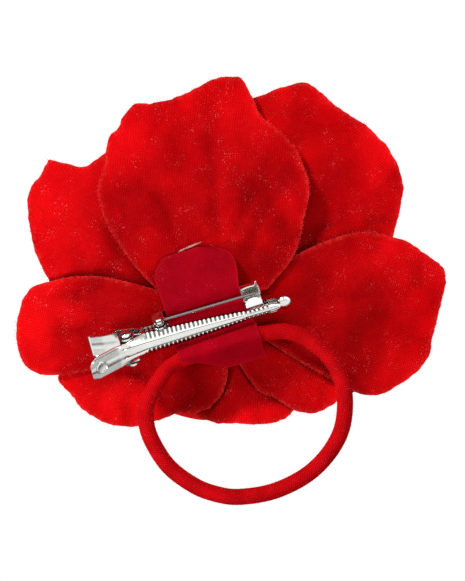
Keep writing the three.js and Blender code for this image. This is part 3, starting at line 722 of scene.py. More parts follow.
def make_spring():
    """The torsion spring's legs press the levers apart, so it bends between the two jaws."""
    middle = (SPRING_LEG + PIVOT_X) / 2
    points = [(SPRING_LEG, SPRING_HALF, 3.35), (middle, SPRING_HALF, 2.75)]
    steps = int(SPRING_TURNS * TURN_STEPS)
    for k in range(steps + 1):
        angle = math.pi / 2 - 2 * math.pi * k / TURN_STEPS
        across = SPRING_HALF * (1 - 2 * k / steps)
        along, out = SPRING_RADIUS * math.cos(angle), SPRING_RADIUS * math.sin(angle)
        points.append((PIVOT_X + along, across, PIVOT_Z + out))
    points += [(middle, -SPRING_HALF, -1.4), (SPRING_LEG, -SPRING_HALF, -2.65)]
    path = resample(spline([jaw_point(*p) for p in points], 6), 0.22)
    obj = tube("torsion_spring", path, SPRING_WIRE, 14, normal=ACROSS)
    finished(obj, STEEL, None, "spring_steel", "jaw_spring")
    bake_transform(obj)


# ---- bar pin ----
BAR_FROM, BAR_TO, BAR_LOW, BAR_HIGH, BAR_CORNER = -15.1, 11.0, 1.6, 5.6, 1.2
TAIL_FROM, TAIL_LOW, TAIL_HIGH, TAIL_CORNER = -19.3, 0.4, 3.0, 0.4
BAR_TOP, BAR_THICK = -2.1, 0.6
EAR_RADIUS, EAR_THICK, EAR_APART = 1.4, 0.4, 0.75
WIRE, EYE, RISE, TIP, TAPER = 0.36, 0.95, 0.95, 10.9, 2.2
CATCH_FROM, CATCH_TO, CATCH_THICK = 6.8, 10.8, 0.35
TONGUE_ROUND, LIP_HOLLOW, LIP_HORN = 1.5, 0.45, 1.1
EARS = (PIN[1] - EAR_APART, PIN[1] + EAR_APART)
EAR_BORE, HEAD_GAP = 0.6, 0.12
PIN_HEAD, PIN_SHANK, HEAD_DOME, HEAD_HEM = 0.9, 0.45, 0.34, 0.08


def flat_strip(name, start, end, low, high, corner):
    """A flat strip with round corners, in the clip's along and across axes."""
    outline = arc((start + corner, high - corner), corner, 90, 180, 10)
    outline += arc((start + corner, low + corner), corner, 180, 270, 10)
    outline += arc((end - corner, low + corner), corner, 270, 360, 10)
    outline += arc((end - corner, high - corner), corner, 0, 90, 10)
    faces = [[clip_point(x, y, z) for x, y in outline] for z in (BAR_TOP - BAR_THICK, BAR_TOP)]
    return stacked(name, faces, 30)


def make_bar():
    obj = flat_strip("pin_base", BAR_FROM, BAR_TO, BAR_LOW, BAR_HIGH, BAR_CORNER)
    tail = flat_strip("tail", TAIL_FROM, PIN[0], TAIL_LOW, TAIL_HIGH, TAIL_CORNER)
    foot = BAR_TOP - 0.3
    ear_line = arc((PIN[0], PIN[2]), EAR_RADIUS, 0, 180)
    ear_line += [(PIN[0] - EAR_RADIUS, foot), (PIN[0] + EAR_RADIUS, foot)]
    plates = [standing_plate("ear", ear_line, y - EAR_THICK / 2, y + EAR_THICK / 2) for y in EARS]
    combine(obj, [tail, *plates])
    place = clip_point(PIN[0], 0, PIN[2])
    bore = turned("bore", [(0, 0), (EAR_BORE, 0), (EAR_BORE, 9), (0, 9)], place, ACROSS, ALONG)
    combine(obj, [bore], "DIFFERENCE")
    finished(round_edges(obj, 0.08), PLATE, "root", "plated_metal", "pin_bar")


def make_pin_rivet():
    reach = EAR_THICK / 2 + HEAD_GAP
    low, high = EARS[0] - reach, EARS[1] + reach
    top = HEAD_HEM + HEAD_DOME
    dome = [(PIN_HEAD * math.cos(a), HEAD_HEM + HEAD_DOME * math.sin(a)) for a in np.linspace(0, 1.4, 7)]
    profile = [(0, low - top)] + [(r, low - h) for r, h in reversed(dome)]
    profile += [(PIN_HEAD, low), (PIN_SHANK, low), (PIN_SHANK, high), (PIN_HEAD, high)]
    profile += [(r, high + h) for r, h in dome] + [(0, high + top)]
    obj = turned("pin_joint_rivet", profile, clip_point(PIN[0], 0, PIN[2]), ACROSS, ALONG, 40)
    finished(obj, PLATE, "root", "plated_metal", "pin_rivet")


def make_pin_wire():
    """Straight wire with an eye bent round the rivet and a ground point."""
    eye = [(PIN[0] + x, PIN[2] + z) for x, z in arc((0, 0), EYE, 10, 270, 27)]
    slope = RISE / (TIP - PIN[0])
    run = [(x, PIN[2] - EYE + slope * (x - PIN[0])) for x in (-12.2, -9.6, -4, 2, 6, 9, TIP)]
    path = resample(spline([clip_point(x, PIN[1], z) for x, z in eye + run], 6), 0.25)
    from_tip = np.linalg.norm(path - path[-1], axis=1)
    radius = np.clip(from_tip / TAPER, 0.03, 1.0) ** 0.8 * WIRE
    obj = tube("pin_stem", path, radius, 20, normal=ACROSS)
    finished(obj, SHADED_PIN_STEEL, "pin", "plated_metal", "pin_wire")


# across the clip, and out of it
CATCH_RUN = [(3.72, 0.85), (2.6, 1.6), (1.95, 1.75), (1.78, 1.1), (1.78, -1.1), (2.3, -1.62), (5.3, -1.62),
             (5.95, -1.1), (6.05, 0.0)]


def make_catch():
    """A trough bent from sheet: one wall curls over as a tongue, the other is a lip with a hollow edge."""
    line = resample(spline(CATCH_RUN, 12), 0.16)
    tangent = tangents_of(line)
    side = np.column_stack([-tangent[:, 1], tangent[:, 0]]) * CATCH_THICK / 2
    walls = {1: [], -1: []}
    for x in np.linspace(CATCH_FROM, CATCH_TO, 25):
        across = 2 * (x - CATCH_FROM) / (CATCH_TO - CATCH_FROM) - 1
        short = TONGUE_ROUND * (1 - math.sqrt(1 - 0.97 * across**2))
        dip = LIP_HOLLOW * (1 - across**2)
        horn = LIP_HORN * smooth(across, 0.55, 1.0)
        for sign, wall in walls.items():
            row = line + sign * side
            steps = np.arange(len(row))
            row = row + np.outer(np.exp(-steps / 3.0) * short, (-0.9, 0.4))
            near_lip = np.exp(-steps[::-1] / 2.5)
            row = row - np.outer(near_lip * dip, (0.0, 1.0)) + np.outer(near_lip * horn, (1.0, -0.2))
            wall.append([clip_point(x, y, z) for y, z in row])
    obj = closed_sheet("pin_clasp", walls[1], walls[-1], sharp_deg=40)
    finished(round_edges(obj, 0.05), PLATE, "root", "plated_metal", "pin_catch")


# ---- ribbon tab and glue ----
RIBBON_WIDTH, RIBBON_THICK = 20.0, 0.34
RIBBON_TOP = (14.5, 18)  # its free top corners start to lift here
# up the rose's back, and towards +Y
RIBBON_RUN = [
    (18.0, 3.15), (13.0, 1.5), (9.0, -0.85), (6.6, -1.95), (5.2, -1.75), (4.0, -1.3), (2.6, -1.5),
    (0, 0.08), (-2.5, 1.6), (-4.0, 0.35), (-6.05, -0.9), (-8.1, 0.35), (-9.9, 2.3), (-11.3, 3.05),
]
# up the rose's back, and the place along the clip of the left and the right edge
RIBBON_LEFT_EDGE = [(-11.3, -1.0), (-6.2, -12.0), (4.8, -11.7), (13.8, -11.8), (16.0, -10.7), (18.0, -8.9)]
RIBBON_RIGHT_EDGE = [(-11.3, 7.7), (-3.4, 7.9), (0.5, 6.5), (6.5, 6.6), (10.0, 7.5), (12.2, 7.7),
                     (14.5, 7.0), (16.5, 4.9), (18.0, 1.2)]


def make_ribbon():
    run = resample(spline(RIBBON_RUN, 16), 0.3)
    tangent, down = tangents_of(run), run_of(run)
    columns = 56
    faces, uv, edge = {1: [], -1: []}, [], []
    for k, (up, back) in enumerate(run):
        upper = smooth(up, *RIBBON_TOP)
        left = np.interp(up, *zip(*RIBBON_LEFT_EDGE)) + 0.12 * wobble((0, up, 0), 2.5, 3.0)
        right = np.interp(up, *zip(*RIBBON_RIGHT_EDGE)) + 0.12 * wobble((0, up, 0), 2.5, 9.0)
        rows = {1: [], -1: []}
        for j in range(columns + 1):
            share = j / columns
            along = left + (right - left) * share
            corner = 0.35 * upper * smooth(abs(2 * share - 1), 0.72, 1.0)
            ripple = 0.09 * wobble((along, up, 0), 3.2, 1.0) + 0.05 * wobble((along, up, 0), 1.1, 5.0)
            for sign in rows:
                offset = sign * RIBBON_THICK / 2 + ripple
                place = (up - tangent[k][1] * offset - corner, back + tangent[k][0] * offset + 0.45 * corner)
                rows[sign].append(rose_point(along, *place))
            near_side = min(share, 1 - share) * (right - left)
            near_end = min(down[k], down[-1] - down[k])
            uv.append((along, down[k]))
            edge.append(max(math.exp(-near_side / 0.35), math.exp(-near_end / 0.35)))
        for sign in faces:
            faces[sign].append(rows[sign])
    obj = closed_sheet("ribbon_band", faces[1], faces[-1], uv, 60, {"edge": edge})
    finished(obj, RIBBON_CLOTH, "root", "ribbon", "ribbon_tab")


GLUE_FROM, GLUE_TO, PAD_ROWS, PAD_BACK = -10.8, 5.3, 36, 3.6
# up the rose's back, and towards +Y
PAD_SECTION = [(-3.4, PAD_BACK), (-1.4, 3.35), (2.7, 2.1), (6.5, 0.1), (8.6, 0.0), (15.2, 3.0),
               (15.2, PAD_BACK)]
GLINT_SLANT, GLINT_HALF, GLINT_UNEVEN = math.radians(24), (2.5, 0.22, 0.3), 0.95
GLINT_SHIFT = np.array((-0.6, 0.0, -1.2))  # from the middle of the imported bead


def make_glue_bead():
    """The glint of glue along the ribbon's top edge: a long lump with an uneven skin."""
    rows, cols = 26, 40
    low, high = (mm(corner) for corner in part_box("glue_bead"))
    c, s = math.cos(GLINT_SLANT), math.sin(GLINT_SLANT)
    half_axes = np.array(((c, 0, s), (-s, 0, c), (0, -1, 0))) * np.array(GLINT_HALF)[:, None]
    centre = (low + high) / 2 + GLINT_SHIFT
    rings = []
    for polar in np.arange(1, rows) * math.pi / rows:
        ring = []
        for turn in circle(cols):
            ball = (math.sin(polar) * math.cos(turn), math.sin(polar) * math.sin(turn), -math.cos(polar))
            scale = 1 + GLINT_UNEVEN * wobble(ball, 0.55, 4.0)
            ring.append(centre + scale * (np.array(ball) @ half_axes))
        rings.append(ring)
    bead = pointed("glue_glint", centre - half_axes[2], rings, centre + half_axes[2])
    finished(bead, GLUE, "root", "hot_glue", "glue_bead")


def make_glue_pad():
    """The wedge of glue that fills the space between the bar, the ribbon and the rose."""
    outline = resample(np.array(PAD_SECTION + PAD_SECTION[:1]), 0.5)[:-1]
    centre = outline.mean(axis=0)
    rings = []
    for share, along in zip(np.linspace(-1, 1, PAD_ROWS), np.linspace(GLUE_FROM, GLUE_TO, PAD_ROWS)):
        ring = []
        for up, back in centre + (outline - centre) * (1 - 0.12 * share**8):
            dent = 0.1 * wobble((along, up, back), 1.6, 2.0)
            ring.append(rose_point(along, up + 0.5 * dent, min(back + abs(dent), PAD_BACK)))
        rings.append(ring)
    finished(stacked("glue_wedge", rings), GLUE, "root", "hot_glue", "glue_pad")


# ---- hair elastic ----
ELASTIC_RADIUS, ELASTIC_LINE, ELASTIC_DEPTH = 1.95, -6.05, 1.7
HELD_FROM, HELD_TO = -11.0, 5.6
BEND_FROM, BEND_TO = -6.3, -10.5  # up the rose's back: between these the swinging loop bends
STITCHES_ROUND = 11
JOIN_GAP = 0.5  # the elastic's two glued ends meet in the middle of the held stretch
# across the rose, up, and towards +Y
LOOP_ROUTE = [
    (15.3, -2.7, 1.65), (20.4, -4.4, 1.55), (25.0, -8.0, 1.4), (28.2, -12.9, 1.2), (29.4, -18.8, 1.0),
    (28.6, -25.7, 0.8), (25.3, -31.7, 0.6), (20.0, -36.7, 0.5), (12.5, -40.3, 0.4), (4.5, -41.6, 0.4),
    (-1.0, -40.9, 0.4), (-6.3, -38.8, 0.5), (-12.2, -34.3, 0.6), (-16.3, -27.8, 0.8), (-17.5, -22.6, 1.0),
    (-16.8, -18.6, 1.25), (-14.6, -14.6, 1.5), (-12.3, -11.4, 1.65),
]


def elastic_path():
    def held(along):
        return rose_point(along, ELASTIC_LINE, ELASTIC_DEPTH)

    middle = (HELD_FROM + HELD_TO) / 2
    start = [held(along) for along in (middle + JOIN_GAP / 2, 0.5, 3.2)]
    start += [held(HELD_TO + run) for run in (0.3, 1.6, 2.9)]
    end = [held(along) for along in (HELD_FROM - 1.2, HELD_FROM - 0.3, -8.5, -6.0, middle - JOIN_GAP / 2)]
    route = [np.array((x, back, z)) for x, z, back in LOOP_ROUTE]
    return resample(spline(start + route + end, 14), 0.32)


def knit_ridges(k, angles):
    """Slanted stitches: low ridges that run round the elastic as they go along it."""
    around, along = angles * STITCHES_ROUND, k * 0.8
    return 1.0 + 0.01 * np.cos(around + along) * np.cos(around - along)


def make_elastic():
    path = elastic_path()
    obj = tube("elastic_band", path, ELASTIC_RADIUS - 0.03, 44, ridges=knit_ridges, sharp_deg=70)
    finished(obj, KNIT, None, "elastic_knit", "elastic_held", "elastic_loop")
    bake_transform(obj)
    return path


def fibres(name, roots, directions, lengths, width, material, body, slot):
    """Fine hairs: each is a thin three-sided spike that droops a little."""
    points, faces = [], []
    for k, (root, direction, length) in enumerate(zip(roots, directions, lengths)):
        direction = unit(direction)
        side = unit(np.cross(direction, (0.31, 0.83, 0.46)))
        third = np.cross(direction, side)
        bend = side * 0.35 * wobble(root, 1.3, 7.0) + third * 0.35 * wobble(root, 1.1, 2.0)
        base = len(points)
        for share, thick in ((-0.12, 1.0), (0.5, 0.8)):
            place = root + direction * length * share + bend * length * max(share, 0) ** 2
            for a in (0, 2 * math.pi / 3, 4 * math.pi / 3):
                points.append(place + width * thick * (math.cos(a) * side + math.sin(a) * third))
        points.append(root + direction * length + bend * length * 1.4)
        for j in range(3):
            n = (j + 1) % 3
            faces.append((base + j, base + n, base + 3 + n, base + 3 + j))
            faces.append((base + 3 + j, base + 3 + n, base + 6))
        faces.append((base + 2, base + 1, base))
    finished(make_object(name, points, faces), material, body, slot)


def make_elastic_fuzz(path):
    """Loose filaments on the free part of the elastic."""
    rng = np.random.default_rng(11)
    free = np.array([k for k, p in enumerate(path) if p @ UP_ROSE < BEND_TO])
    u, v = tube_frames(path)
    picks = rng.choice(free, 1500)
    angles = rng.uniform(0, 2 * math.pi, len(picks))
    out = np.cos(angles)[:, None] * u[picks] + np.sin(angles)[:, None] * v[picks]
    roots = path[picks] + out * (ELASTIC_RADIUS - 0.08)
    lean = rng.normal(0, 0.9, (len(picks), 3))
    lengths = rng.uniform(0.25, 0.75, len(picks))
    fibres("elastic_fuzz", roots, out + lean, lengths, 0.022, KNIT_THREAD, "elastic", "elastic_knit")


# ---- outer petals ----
# Each outer petal: its layer, and [degrees, reach] points of its outline from the rose's axis.
OUTER = {
    "outer_petal_1": (0, [(17, 13), (32, 22), (44, 29), (52, 36), (64, 42), (76, 46), (80, 50.2), (84, 54.3),
                          (91, 53.2), (97, 50.8), (104, 49.9), (108, 50.2), (111.5, 51.1), (113, 50.9),
                          (116, 49.8), (118.5, 48), (122, 47.2), (125, 45), (128, 42.4), (136, 38.5),
                          (143, 32), (153, 22), (166, 14)]),
    "outer_petal_2": (1, [(165, 12), (166, 28), (171, 38), (176, 44.5), (185, 47.2), (192, 47.8), (198, 46.9),
                          (203, 42.6), (209, 30), (216, 14)]),
    "outer_petal_3": (1, [(-36, 12), (-33, 30), (-30.5, 42), (-22, 48.6), (-14, 52), (-8, 52), (3, 54.3),
                          (9, 54.9), (14, 51), (19, 47), (24, 42), (28, 36), (31, 26), (34, 12)]),
    "outer_petal_4": (2, [(200, 12), (203, 39), (213, 40), (222, 39.3), (232, 36.5), (241, 32), (250, 27.5),
                          (259, 26), (268, 24), (277, 19.5), (287, 12)]),
    "outer_petal_5": (2, [(290, 12), (296, 21.5), (303, 26.5), (308, 32), (315, 35.5), (323, 37), (329, 39),
                          (338, 37.5), (352, 16)]),
    "second_petal_1": (3, [(8, 12), (10, 38), (24, 47), (33, 53), (41, 55.3), (50, 55.6), (59, 55.3),
                           (65, 56.6), (70, 56), (79, 50), (92, 43), (98, 12)]),
    "second_petal_2": (3, [(104, 12), (110, 40), (122, 44), (133, 45), (136.5, 48.9), (138.6, 52.1),
                           (139.6, 52.2), (143, 51.7), (148, 51.6), (152, 50.4), (160, 46.2), (170, 40.6),
                           (178, 34), (184, 12)]),
    "second_petal_3": (3, [(250, 12), (258, 25), (267, 27.5), (280, 28.6), (296, 31), (306, 31.2), (316, 26),
                           (322, 12)]),
    "second_petal_4": (4, [(186, 12), (188, 32), (200, 37), (216, 36), (230, 33), (242, 27), (248, 12)]),
    "second_petal_5": (4, [(316, 12), (320, 30), (332, 36), (344, 43), (356, 45), (364, 36), (368, 12)]),
}
LAYER_STEP, CLOTH_THICK, CAD_THICK = 1.0, 0.3, 0.45
STEM_CLEAR = 3.5
BOWL_FLAT, BOWL_REACH, BOWL_RISE = 16.0, 55.0, 7.5
FOLD_HEIGHT, FOLD_WAVES = 0.8, 7
DIMPLES = [(13.0, 1.0, 20.0), (5.0, 0.35, 31.0), (2.0, 0.08, 37.0)]  # size, share of the height, seed
DIMPLE_HEIGHT, CREASE_HEIGHT, SOFT_FROM, SOFT_TO = 2.2, 1.2, 8, 26
CURL_WIDTH, CURL_FROM, CURL_TO = 5.5, 18, 32
FRAYED_FROM, FRAYED_SHARE, FRAYED_LIFT = 20, 0.42, 0.825
JAGS = [(0.24, 1.1, 0), (0.35, 4.0, 4)]  # height, size, seed


def outer_depth(x, z):
    """How far towards the front the outer petals' shared bowl rises at a place round the rose's axis."""
    r = np.hypot(x, z)
    t = np.maximum(0, r - BOWL_FLAT) / (BOWL_REACH - BOWL_FLAT)
    fold = FOLD_HEIGHT * np.sin(FOLD_WAVES * np.arctan2(z, x) + 0.08 * r)
    return BOWL_RISE * t**1.6 + fold * smooth(r, BOWL_FLAT, BOWL_REACH)


def petal_outline(points, seed):
    """The cut edge: a smooth curve through the outline, closed round the stem, and frayed a little."""
    rim = spline([(r * math.cos(math.radians(a)), r * math.sin(math.radians(a))) for a, r in points], 10)
    back = arc((0, 0), STEM_CLEAR, points[-1][0], points[0][0], 9)
    closed = resample(np.vstack([rim, back, rim[:1]]), 0.55)[:-1]
    reach = np.hypot(*closed.T)
    jag = sum(height * wobbles(closed, size, seed + more) for height, size, more in JAGS)
    return closed * (1 + np.where(reach > STEM_CLEAR + 1.5, jag / reach, 0))[:, None]


def inside(points, polygon):
    """Which of the points lie inside the polygon."""
    x, z = points[:, 0][:, None], points[:, 1][:, None]
    (ax, az), (bx, bz) = polygon.T, np.roll(polygon, -1, axis=0).T
    rise = np.where(bz == az, 1e-9, bz - az)
    left_of = x < (bx - ax) * (z - az) / rise + ax
    return (((az > z) != (bz > z)) & left_of).sum(axis=1) % 2 == 1


def distance_to(points, line):
    return np.sqrt(((points[:, None, :] - line[None, :, :]) ** 2).sum(axis=2)).min(axis=1)


GRAIN, ROW_STEP, RIM_CLEAR = 1.0, 0.866, 0.5  # spacing of the points inside a petal


def triangulated(outline):
    """Points and triangles that fill an outline evenly."""
    low, high = outline.min(axis=0), outline.max(axis=0)
    rows = enumerate(np.arange(low[1], high[1], GRAIN * ROW_STEP))
    columns = np.arange(low[0], high[0], GRAIN)
    grid = np.array([(x + GRAIN / 2 * (k % 2), z) for k, z in rows for x in columns])
    grid = grid[inside(grid, outline)]
    grid = grid[distance_to(grid, outline) > RIM_CLEAR]
    points = np.vstack([outline, grid])
    found = geometry.delaunay_2d_cdt([Vector(p) for p in points], [], [list(range(len(outline)))], 1, 1e-6)
    return np.array([tuple(p) for p in found[0]]), [tuple(f) for f in found[2]]


def boundary_edges(faces):
    """Directed edges that only one face has."""
    directed = dict.fromkeys(pair for face in faces for pair in zip(face, face[1:] + face[:1]))
    return [(a, b) for a, b in directed if (b, a) not in directed]


def creases_at(flat_points):
    """Soft folds that run out from the stem, the same in every layer."""
    heights = []
    for x, z in flat_points:
        turn, reach = math.atan2(z, x), math.hypot(x, z)
        place = (math.cos(turn) * 9, math.sin(turn) * 9, reach / 9)
        heights.append(1 - 2 * abs(wobble(place, 3.6, 12.0)) ** 0.8)
    return np.array(heights)


def layer_depth(layer, x, z):
    """The depth of the middle of a layer's cloth, before its folds."""
    return ROSE_BACK + layer * LAYER_STEP + CAD_THICK / 2 + outer_depth(x, z)


def make_outer_petal(name, number, layer, points):
    """Makes one outer petal and returns its cut edge and its layer, for the frayed threads."""
    seed = 10.0 + 3.1 * number
    outline = petal_outline(points, seed)
    flat, faces = triangulated(outline)
    edge, reach = distance_to(flat, outline), np.hypot(*flat.T)
    waves = wobbles(unit(flat) * 14, 5.0, seed)
    dimples = sum(share * wobbles(flat, size, more) for size, share, more in DIMPLES)
    creases = creases_at(flat)
    curl = np.clip(1 - edge / CURL_WIDTH, 0, 1) ** 2 * smooth(reach, CURL_FROM, CURL_TO) * (0.4 + 1.2 * waves)
    folds = (DIMPLE_HEIGHT * dimples + CREASE_HEIGHT * creases) * smooth(reach, SOFT_FROM, SOFT_TO)
    depth = layer_depth(layer, *flat.T) + folds - curl
    sides = (depth - CLOTH_THICK / 2, depth + CLOTH_THICK / 2)
    both = np.vstack([np.column_stack([flat[:, 0] + ROSE_X, y, flat[:, 1] + ROSE_Z]) for y in sides])
    count = len(flat)
    skin = list(faces) + [tuple(k + count for k in reversed(f)) for f in faces]
    skin += [(b, a, a + count, b + count) for a, b in boundary_edges(faces)]

    slant = math.radians(points[len(points) // 2][0])
    along = np.array((math.cos(slant), math.sin(slant)))
    uv = np.column_stack([flat @ np.array((-along[1], along[0])), flat @ along])
    # painted shade: darker towards the stem and along the crease valleys, kept in the root attribute
    root_shade = 1 - smooth(reach + 9 * wobbles(flat, 11.0, seed), 24, reach.max() - 2)
    crease_shade = smooth(creases, 0.55, 1.0) * smooth(reach, 8, 18) * (1 - smooth(reach, 34, 44))
    shades = {
        "edge": np.tile(np.exp(-edge / 0.3) * smooth(reach, 6, 12), 2),
        "root": np.tile(np.clip(root_shade + 0.5 * crease_shade, 0, 1.3), 2),
    }
    obj = make_object(name.replace("petal", "leaf_of_cloth"), both, skin, np.tile(uv, (2, 1)), 60, shades)
    finished(obj, CLOTH, "root", "petal_cloth", name)
    return outline, layer


def make_frayed_threads(cut_edges):
    """Threads that stand out from the cut edges of the outer petals."""
    rng = np.random.default_rng(5)
    roots, directions, lengths = [], [], []
    for outline, layer in cut_edges:
        for place, tangent in zip(outline, np.roll(outline, -1, axis=0) - outline):
            reach = np.linalg.norm(place)
            if reach < FRAYED_FROM:
                continue
            for _ in range(2):
                if rng.random() > FRAYED_SHARE:
                    continue
                outward = np.array((tangent[1], -tangent[0]))
                outward *= np.sign(outward @ place)
                x, z = unit(outward) + rng.normal(0, 0.9) * unit(tangent)
                y = layer_depth(layer, *place) - FRAYED_LIFT * smooth(reach, CURL_FROM, CURL_TO)
                roots.append(np.array((place[0] + ROSE_X, y, place[1] + ROSE_Z)))
                directions.append(np.array((x, rng.normal(-0.15, 0.3), z)))
                lengths.append(rng.uniform(0.25, 0.7) * (1.9 if rng.random() < 0.06 else 1))
    fibres("frayed_threads", roots, directions, lengths, 0.024, PETAL_THREAD, "root", "petal_cloth")


# ---- inner rose ----
# Each ring: its name, how many petals, its turn in degrees, (distance from the axis, depth) of a petal's
# foot, bulge and lip, how far its petals spread over each other, and how far one edge lies outside the next.
RINGS = [
    ("third_petal", 5, 20, (5.5, 9.8), (24, 12), (31, 24), 1.32, 1.4),
    ("inner_petal", 4, 55, (5.0, 12.4), (18, 19), (22, 31), 1.4, 1.2),
    ("heart_petal", 3, 10, (4.4, 15.2), (12, 23), (13.2, 36), 1.36, 1.0),
]
NOD_FROM, NOD_RATE = 9.0, 0.42


def cup_point(r, angle, y):
    """A point round the rose's axis, which nods up towards the front."""
    nod = NOD_RATE * (y - NOD_FROM)
    return np.array((ROSE_X + r * math.cos(angle), y, ROSE_Z + nod + r * math.sin(angle)))


def bezier(foot, bulge, lip, t):
    """A place on the curve of a petal's section, and the way along it there."""
    foot, bulge, lip = (np.array(p, float) for p in (foot, bulge, lip))
    place = foot * (1 - t) ** 2 + bulge * 2 * t * (1 - t) + lip * t * t
    along = 2 * (1 - t) * (bulge - foot) + 2 * t * (lip - bulge)
    return place, unit(along)


def cupped_face(ring, number, offset, rows=34, cols=40):
    """One face of a cupped petal: one of its edges lies outside its neighbour and the other inside."""
    name, count, turn, foot, bulge, lip, spread, shingle = ring
    middle = math.radians(turn + 360 / count * number)
    half = math.radians(180 / count) * spread
    seed = 50 + 7.3 * number + count
    grid = []
    for i in range(rows + 1):
        line = []
        for j in range(cols + 1):
            across = 2 * j / cols - 1
            top = 1 - 0.22 * abs(across) ** 3 + 0.012 * wobble((across * 3, i / rows, 0), 0.6, seed)
            t = i / rows * top
            place, along = bezier(foot, bulge, lip, min(t, 1.0))
            wide = 0.62 + 0.38 * math.sin(math.pi * (0.1 + 0.8 * t) / 1.1)
            angle = middle + half * across * wide
            push = offset + shingle * across * (0.35 + 0.65 * t)
            roll = smooth(i / rows, 0.8, 1.0)
            push += 1.7 * roll**2 + 0.35 * roll * wobble((across * 4, 0, 0), 1.0, seed)
            push += 0.14 * wobble((angle * 12, t * 10, 0), 1.8, 63.0)
            r, y = place[0] + along[1] * push, place[1] - along[0] * push - 0.5 * roll**2
            line.append(cup_point(r, angle, y))
        grid.append(line)
    return np.array(grid)


def cloth_uv(grid):
    """Flat places for a grid of points: lengths along its rows and up its middle column."""
    rows, cols = grid.shape[:2]
    up = run_of(grid[:, cols // 2])
    uv = np.zeros((rows, cols, 2))
    for i in range(rows):
        run = run_of(grid[i])
        uv[i, :, 0], uv[i, :, 1] = run - run[cols // 2], up[i]
    return uv


def grid_edge(rows, cols, step_mm):
    """1 at a cloth's three cut edges and less away from them."""
    near = np.array([[min(rows - 1 - i, j, cols - 1 - j) for j in range(cols)] for i in range(rows)], float)
    return np.exp(-near * step_mm / 0.8)


def make_cloth_grid(name, node, middle_face, front, back):
    rows, cols = middle_face.shape[:2]
    uv = cloth_uv(middle_face)
    obj = closed_sheet(name, front, back, uv, 60, {"edge": grid_edge(rows, cols, 0.9)})
    finished(obj, CLOTH, "root", "petal_cloth", node)


def make_inner_rose():
    for ring in RINGS:
        for number in range(ring[1]):
            half = CLOTH_THICK / 2
            node = f"{ring[0]}_{number + 1}"
            middle, front, back = (cupped_face(ring, number, offset) for offset in (0, half, -half))
            make_cloth_grid(node.replace("petal", "cup_of_cloth"), node, middle, front, back)


BUD_FROM, BUD_HEIGHT, BUD_TURNS = 18.8, 18.6, 2.1
BUD_INNER, BUD_GROWTH, BUD_FALL = 2.0, 4.2, 2.4


def make_bud():
    """One strip of cloth rolled into a spiral, its rim a little uneven."""
    steps, heights = 150, 26

    def face(offset):
        grid = []
        for k in range(steps + 1):
            t = k / steps
            angle = 2 * math.pi * BUD_TURNS * t
            rim = BUD_HEIGHT - BUD_FALL * t + 0.5 * wobble((angle * 2, 0, 0), 1.4, 8.0)
            line = []
            for h in range(heights + 1):
                height = h / heights
                r = (BUD_INNER + BUD_GROWTH * t) * (0.72 + 0.28 * math.sin(math.pi * height)) + offset
                r += 0.5 * smooth(height, 0.85, 1.0) ** 2
                r += 0.12 * wobble((angle * 2, height * 4, 0), 1.2, 3.0)
                line.append(cup_point(r, angle, BUD_FROM + height * rim))
            grid.append(line)
        return np.array(grid).transpose(1, 0, 2)

    half = CLOTH_THICK / 2
    make_cloth_grid("rolled_bud", "bud_roll", face(0), face(half), face(-half))


# ---- light ----
# Levels of the white round the object, by the height or the depth of the direction looked at, from -1 to 1.
# Cloth gets an even glow. Bright metal sees a white card in front, with a dark gap in it, and dark behind.
GLOW, GLOW_POWER = [(-1.0, 0.25), (-0.1, 0.28), (1.0, 0.55)], 0.6
CARDS = [(-1.0, 1.0), (-0.82, 1.0), (-0.77, 0.12), (-0.7, 0.75), (-0.3, 0.7), (-0.12, 0.03), (1.0, 0.02)]
CARD_POWER = 1.35
LIGHTS = [  # name, place, target, size and power
    ("key", (-0.55, -0.55, 0.65), (0.0, 0.01, 0.005), 0.2, 5.6),
    ("fill", (0.62, -0.62, -0.12), (0.02, 0.0, -0.02), 0.35, 2.2),
    ("low_left", (-0.62, -0.36, -0.34), (-0.03, 0.0, -0.02), 0.25, 3.8),
    ("front_of_rose", (0.3, 0.8, 0.5), (0.0, 0.01, 0.005), 0.5, 3.0),
]


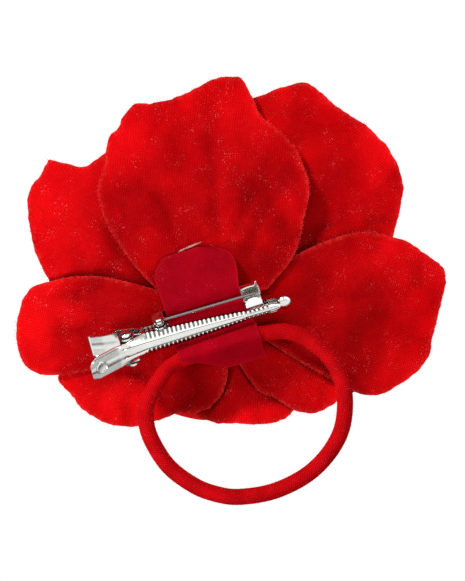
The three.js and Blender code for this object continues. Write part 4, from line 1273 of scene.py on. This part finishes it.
def make_world():
    """White to the camera, the glow for cloth, and the cards for bright metal."""
    world = bpy.data.worlds.new("studio")
    bpy.context.scene.world = world
    world.use_nodes = True
    nodes, links = world.node_tree.nodes, world.node_tree.links

    def background(colour, strength):
        made = nodes.new("ShaderNodeBackground")
        made.inputs["Strength"].default_value = strength
        if isinstance(colour, bpy.types.NodeSocket):
            links.new(colour, made.inputs["Color"])
        else:
            made.inputs["Color"].default_value = colour
        return made.outputs[0]

    def choose(factor, no, yes):
        made = nodes.new("ShaderNodeMixShader")
        for socket, value in zip(made.inputs, (factor, no, yes)):
            links.new(value, socket)
        return made.outputs[0]

    def bands(axis, stops):
        """Levels along one axis of the direction that is looked at."""
        split = nodes.new("ShaderNodeSeparateXYZ")
        links.new(nodes.new("ShaderNodeTexCoord").outputs["Generated"], split.inputs[0])
        place = nodes.new("ShaderNodeMath")
        place.operation = "MULTIPLY_ADD"
        place.inputs[1].default_value, place.inputs[2].default_value = 0.5, 0.5
        links.new(split.outputs[axis], place.inputs[0])
        ramp = nodes.new("ShaderNodeValToRGB")
        while len(ramp.color_ramp.elements) < len(stops):
            ramp.color_ramp.elements.new(0.5)
        for element, (at, level) in zip(ramp.color_ramp.elements, stops):
            element.position, element.color = (at + 1) / 2, (level, level, level, 1.0)
        links.new(place.outputs[0], ramp.inputs[0])
        return ramp.outputs[0]

    path = nodes.new("ShaderNodeLightPath").outputs
    glow, cards = background(bands("Z", GLOW), GLOW_POWER), background(bands("Y", CARDS), CARD_POWER)
    lit = choose(path["Is Glossy Ray"], glow, cards)
    seen = choose(path["Is Camera Ray"], lit, background((1, 1, 1, 1), 1.0))
    links.new(seen, nodes["World Output"].inputs["Surface"])


def area_light(name, place, target, size, power):
    data = bpy.data.lights.new(name, "AREA")
    data.shape, data.size, data.energy = "DISK", size, power
    light = bpy.data.objects.new(name, data)
    light.location = place
    way = Vector(target) - Vector(place)
    light.rotation_euler = way.to_track_quat("-Z", "Y").to_euler()
    bpy.context.scene.collection.objects.link(light)


def make_stem():
    """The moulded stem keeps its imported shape."""
    mesh = frame["nodes"]["rose_core"].data
    mesh.materials.clear()
    mesh.materials.append(STEM)


# ---- everything ----
for make in (make_upper_jaw, make_lower_jaw, make_pivot, make_spring, make_bar, make_pin_rivet, make_pin_wire,
             make_catch, make_ribbon, make_glue_bead, make_glue_pad):
    make()
make_elastic_fuzz(make_elastic())
make_frayed_threads([make_outer_petal(name, k, *OUTER[name]) for k, name in enumerate(OUTER)])
make_inner_rose()
make_bud()
make_stem()
make_world()
for light in LIGHTS:
    area_light(*light)
bpy.context.scene.view_settings.view_transform = "Standard"
bpy.context.scene.view_settings.look = "None"
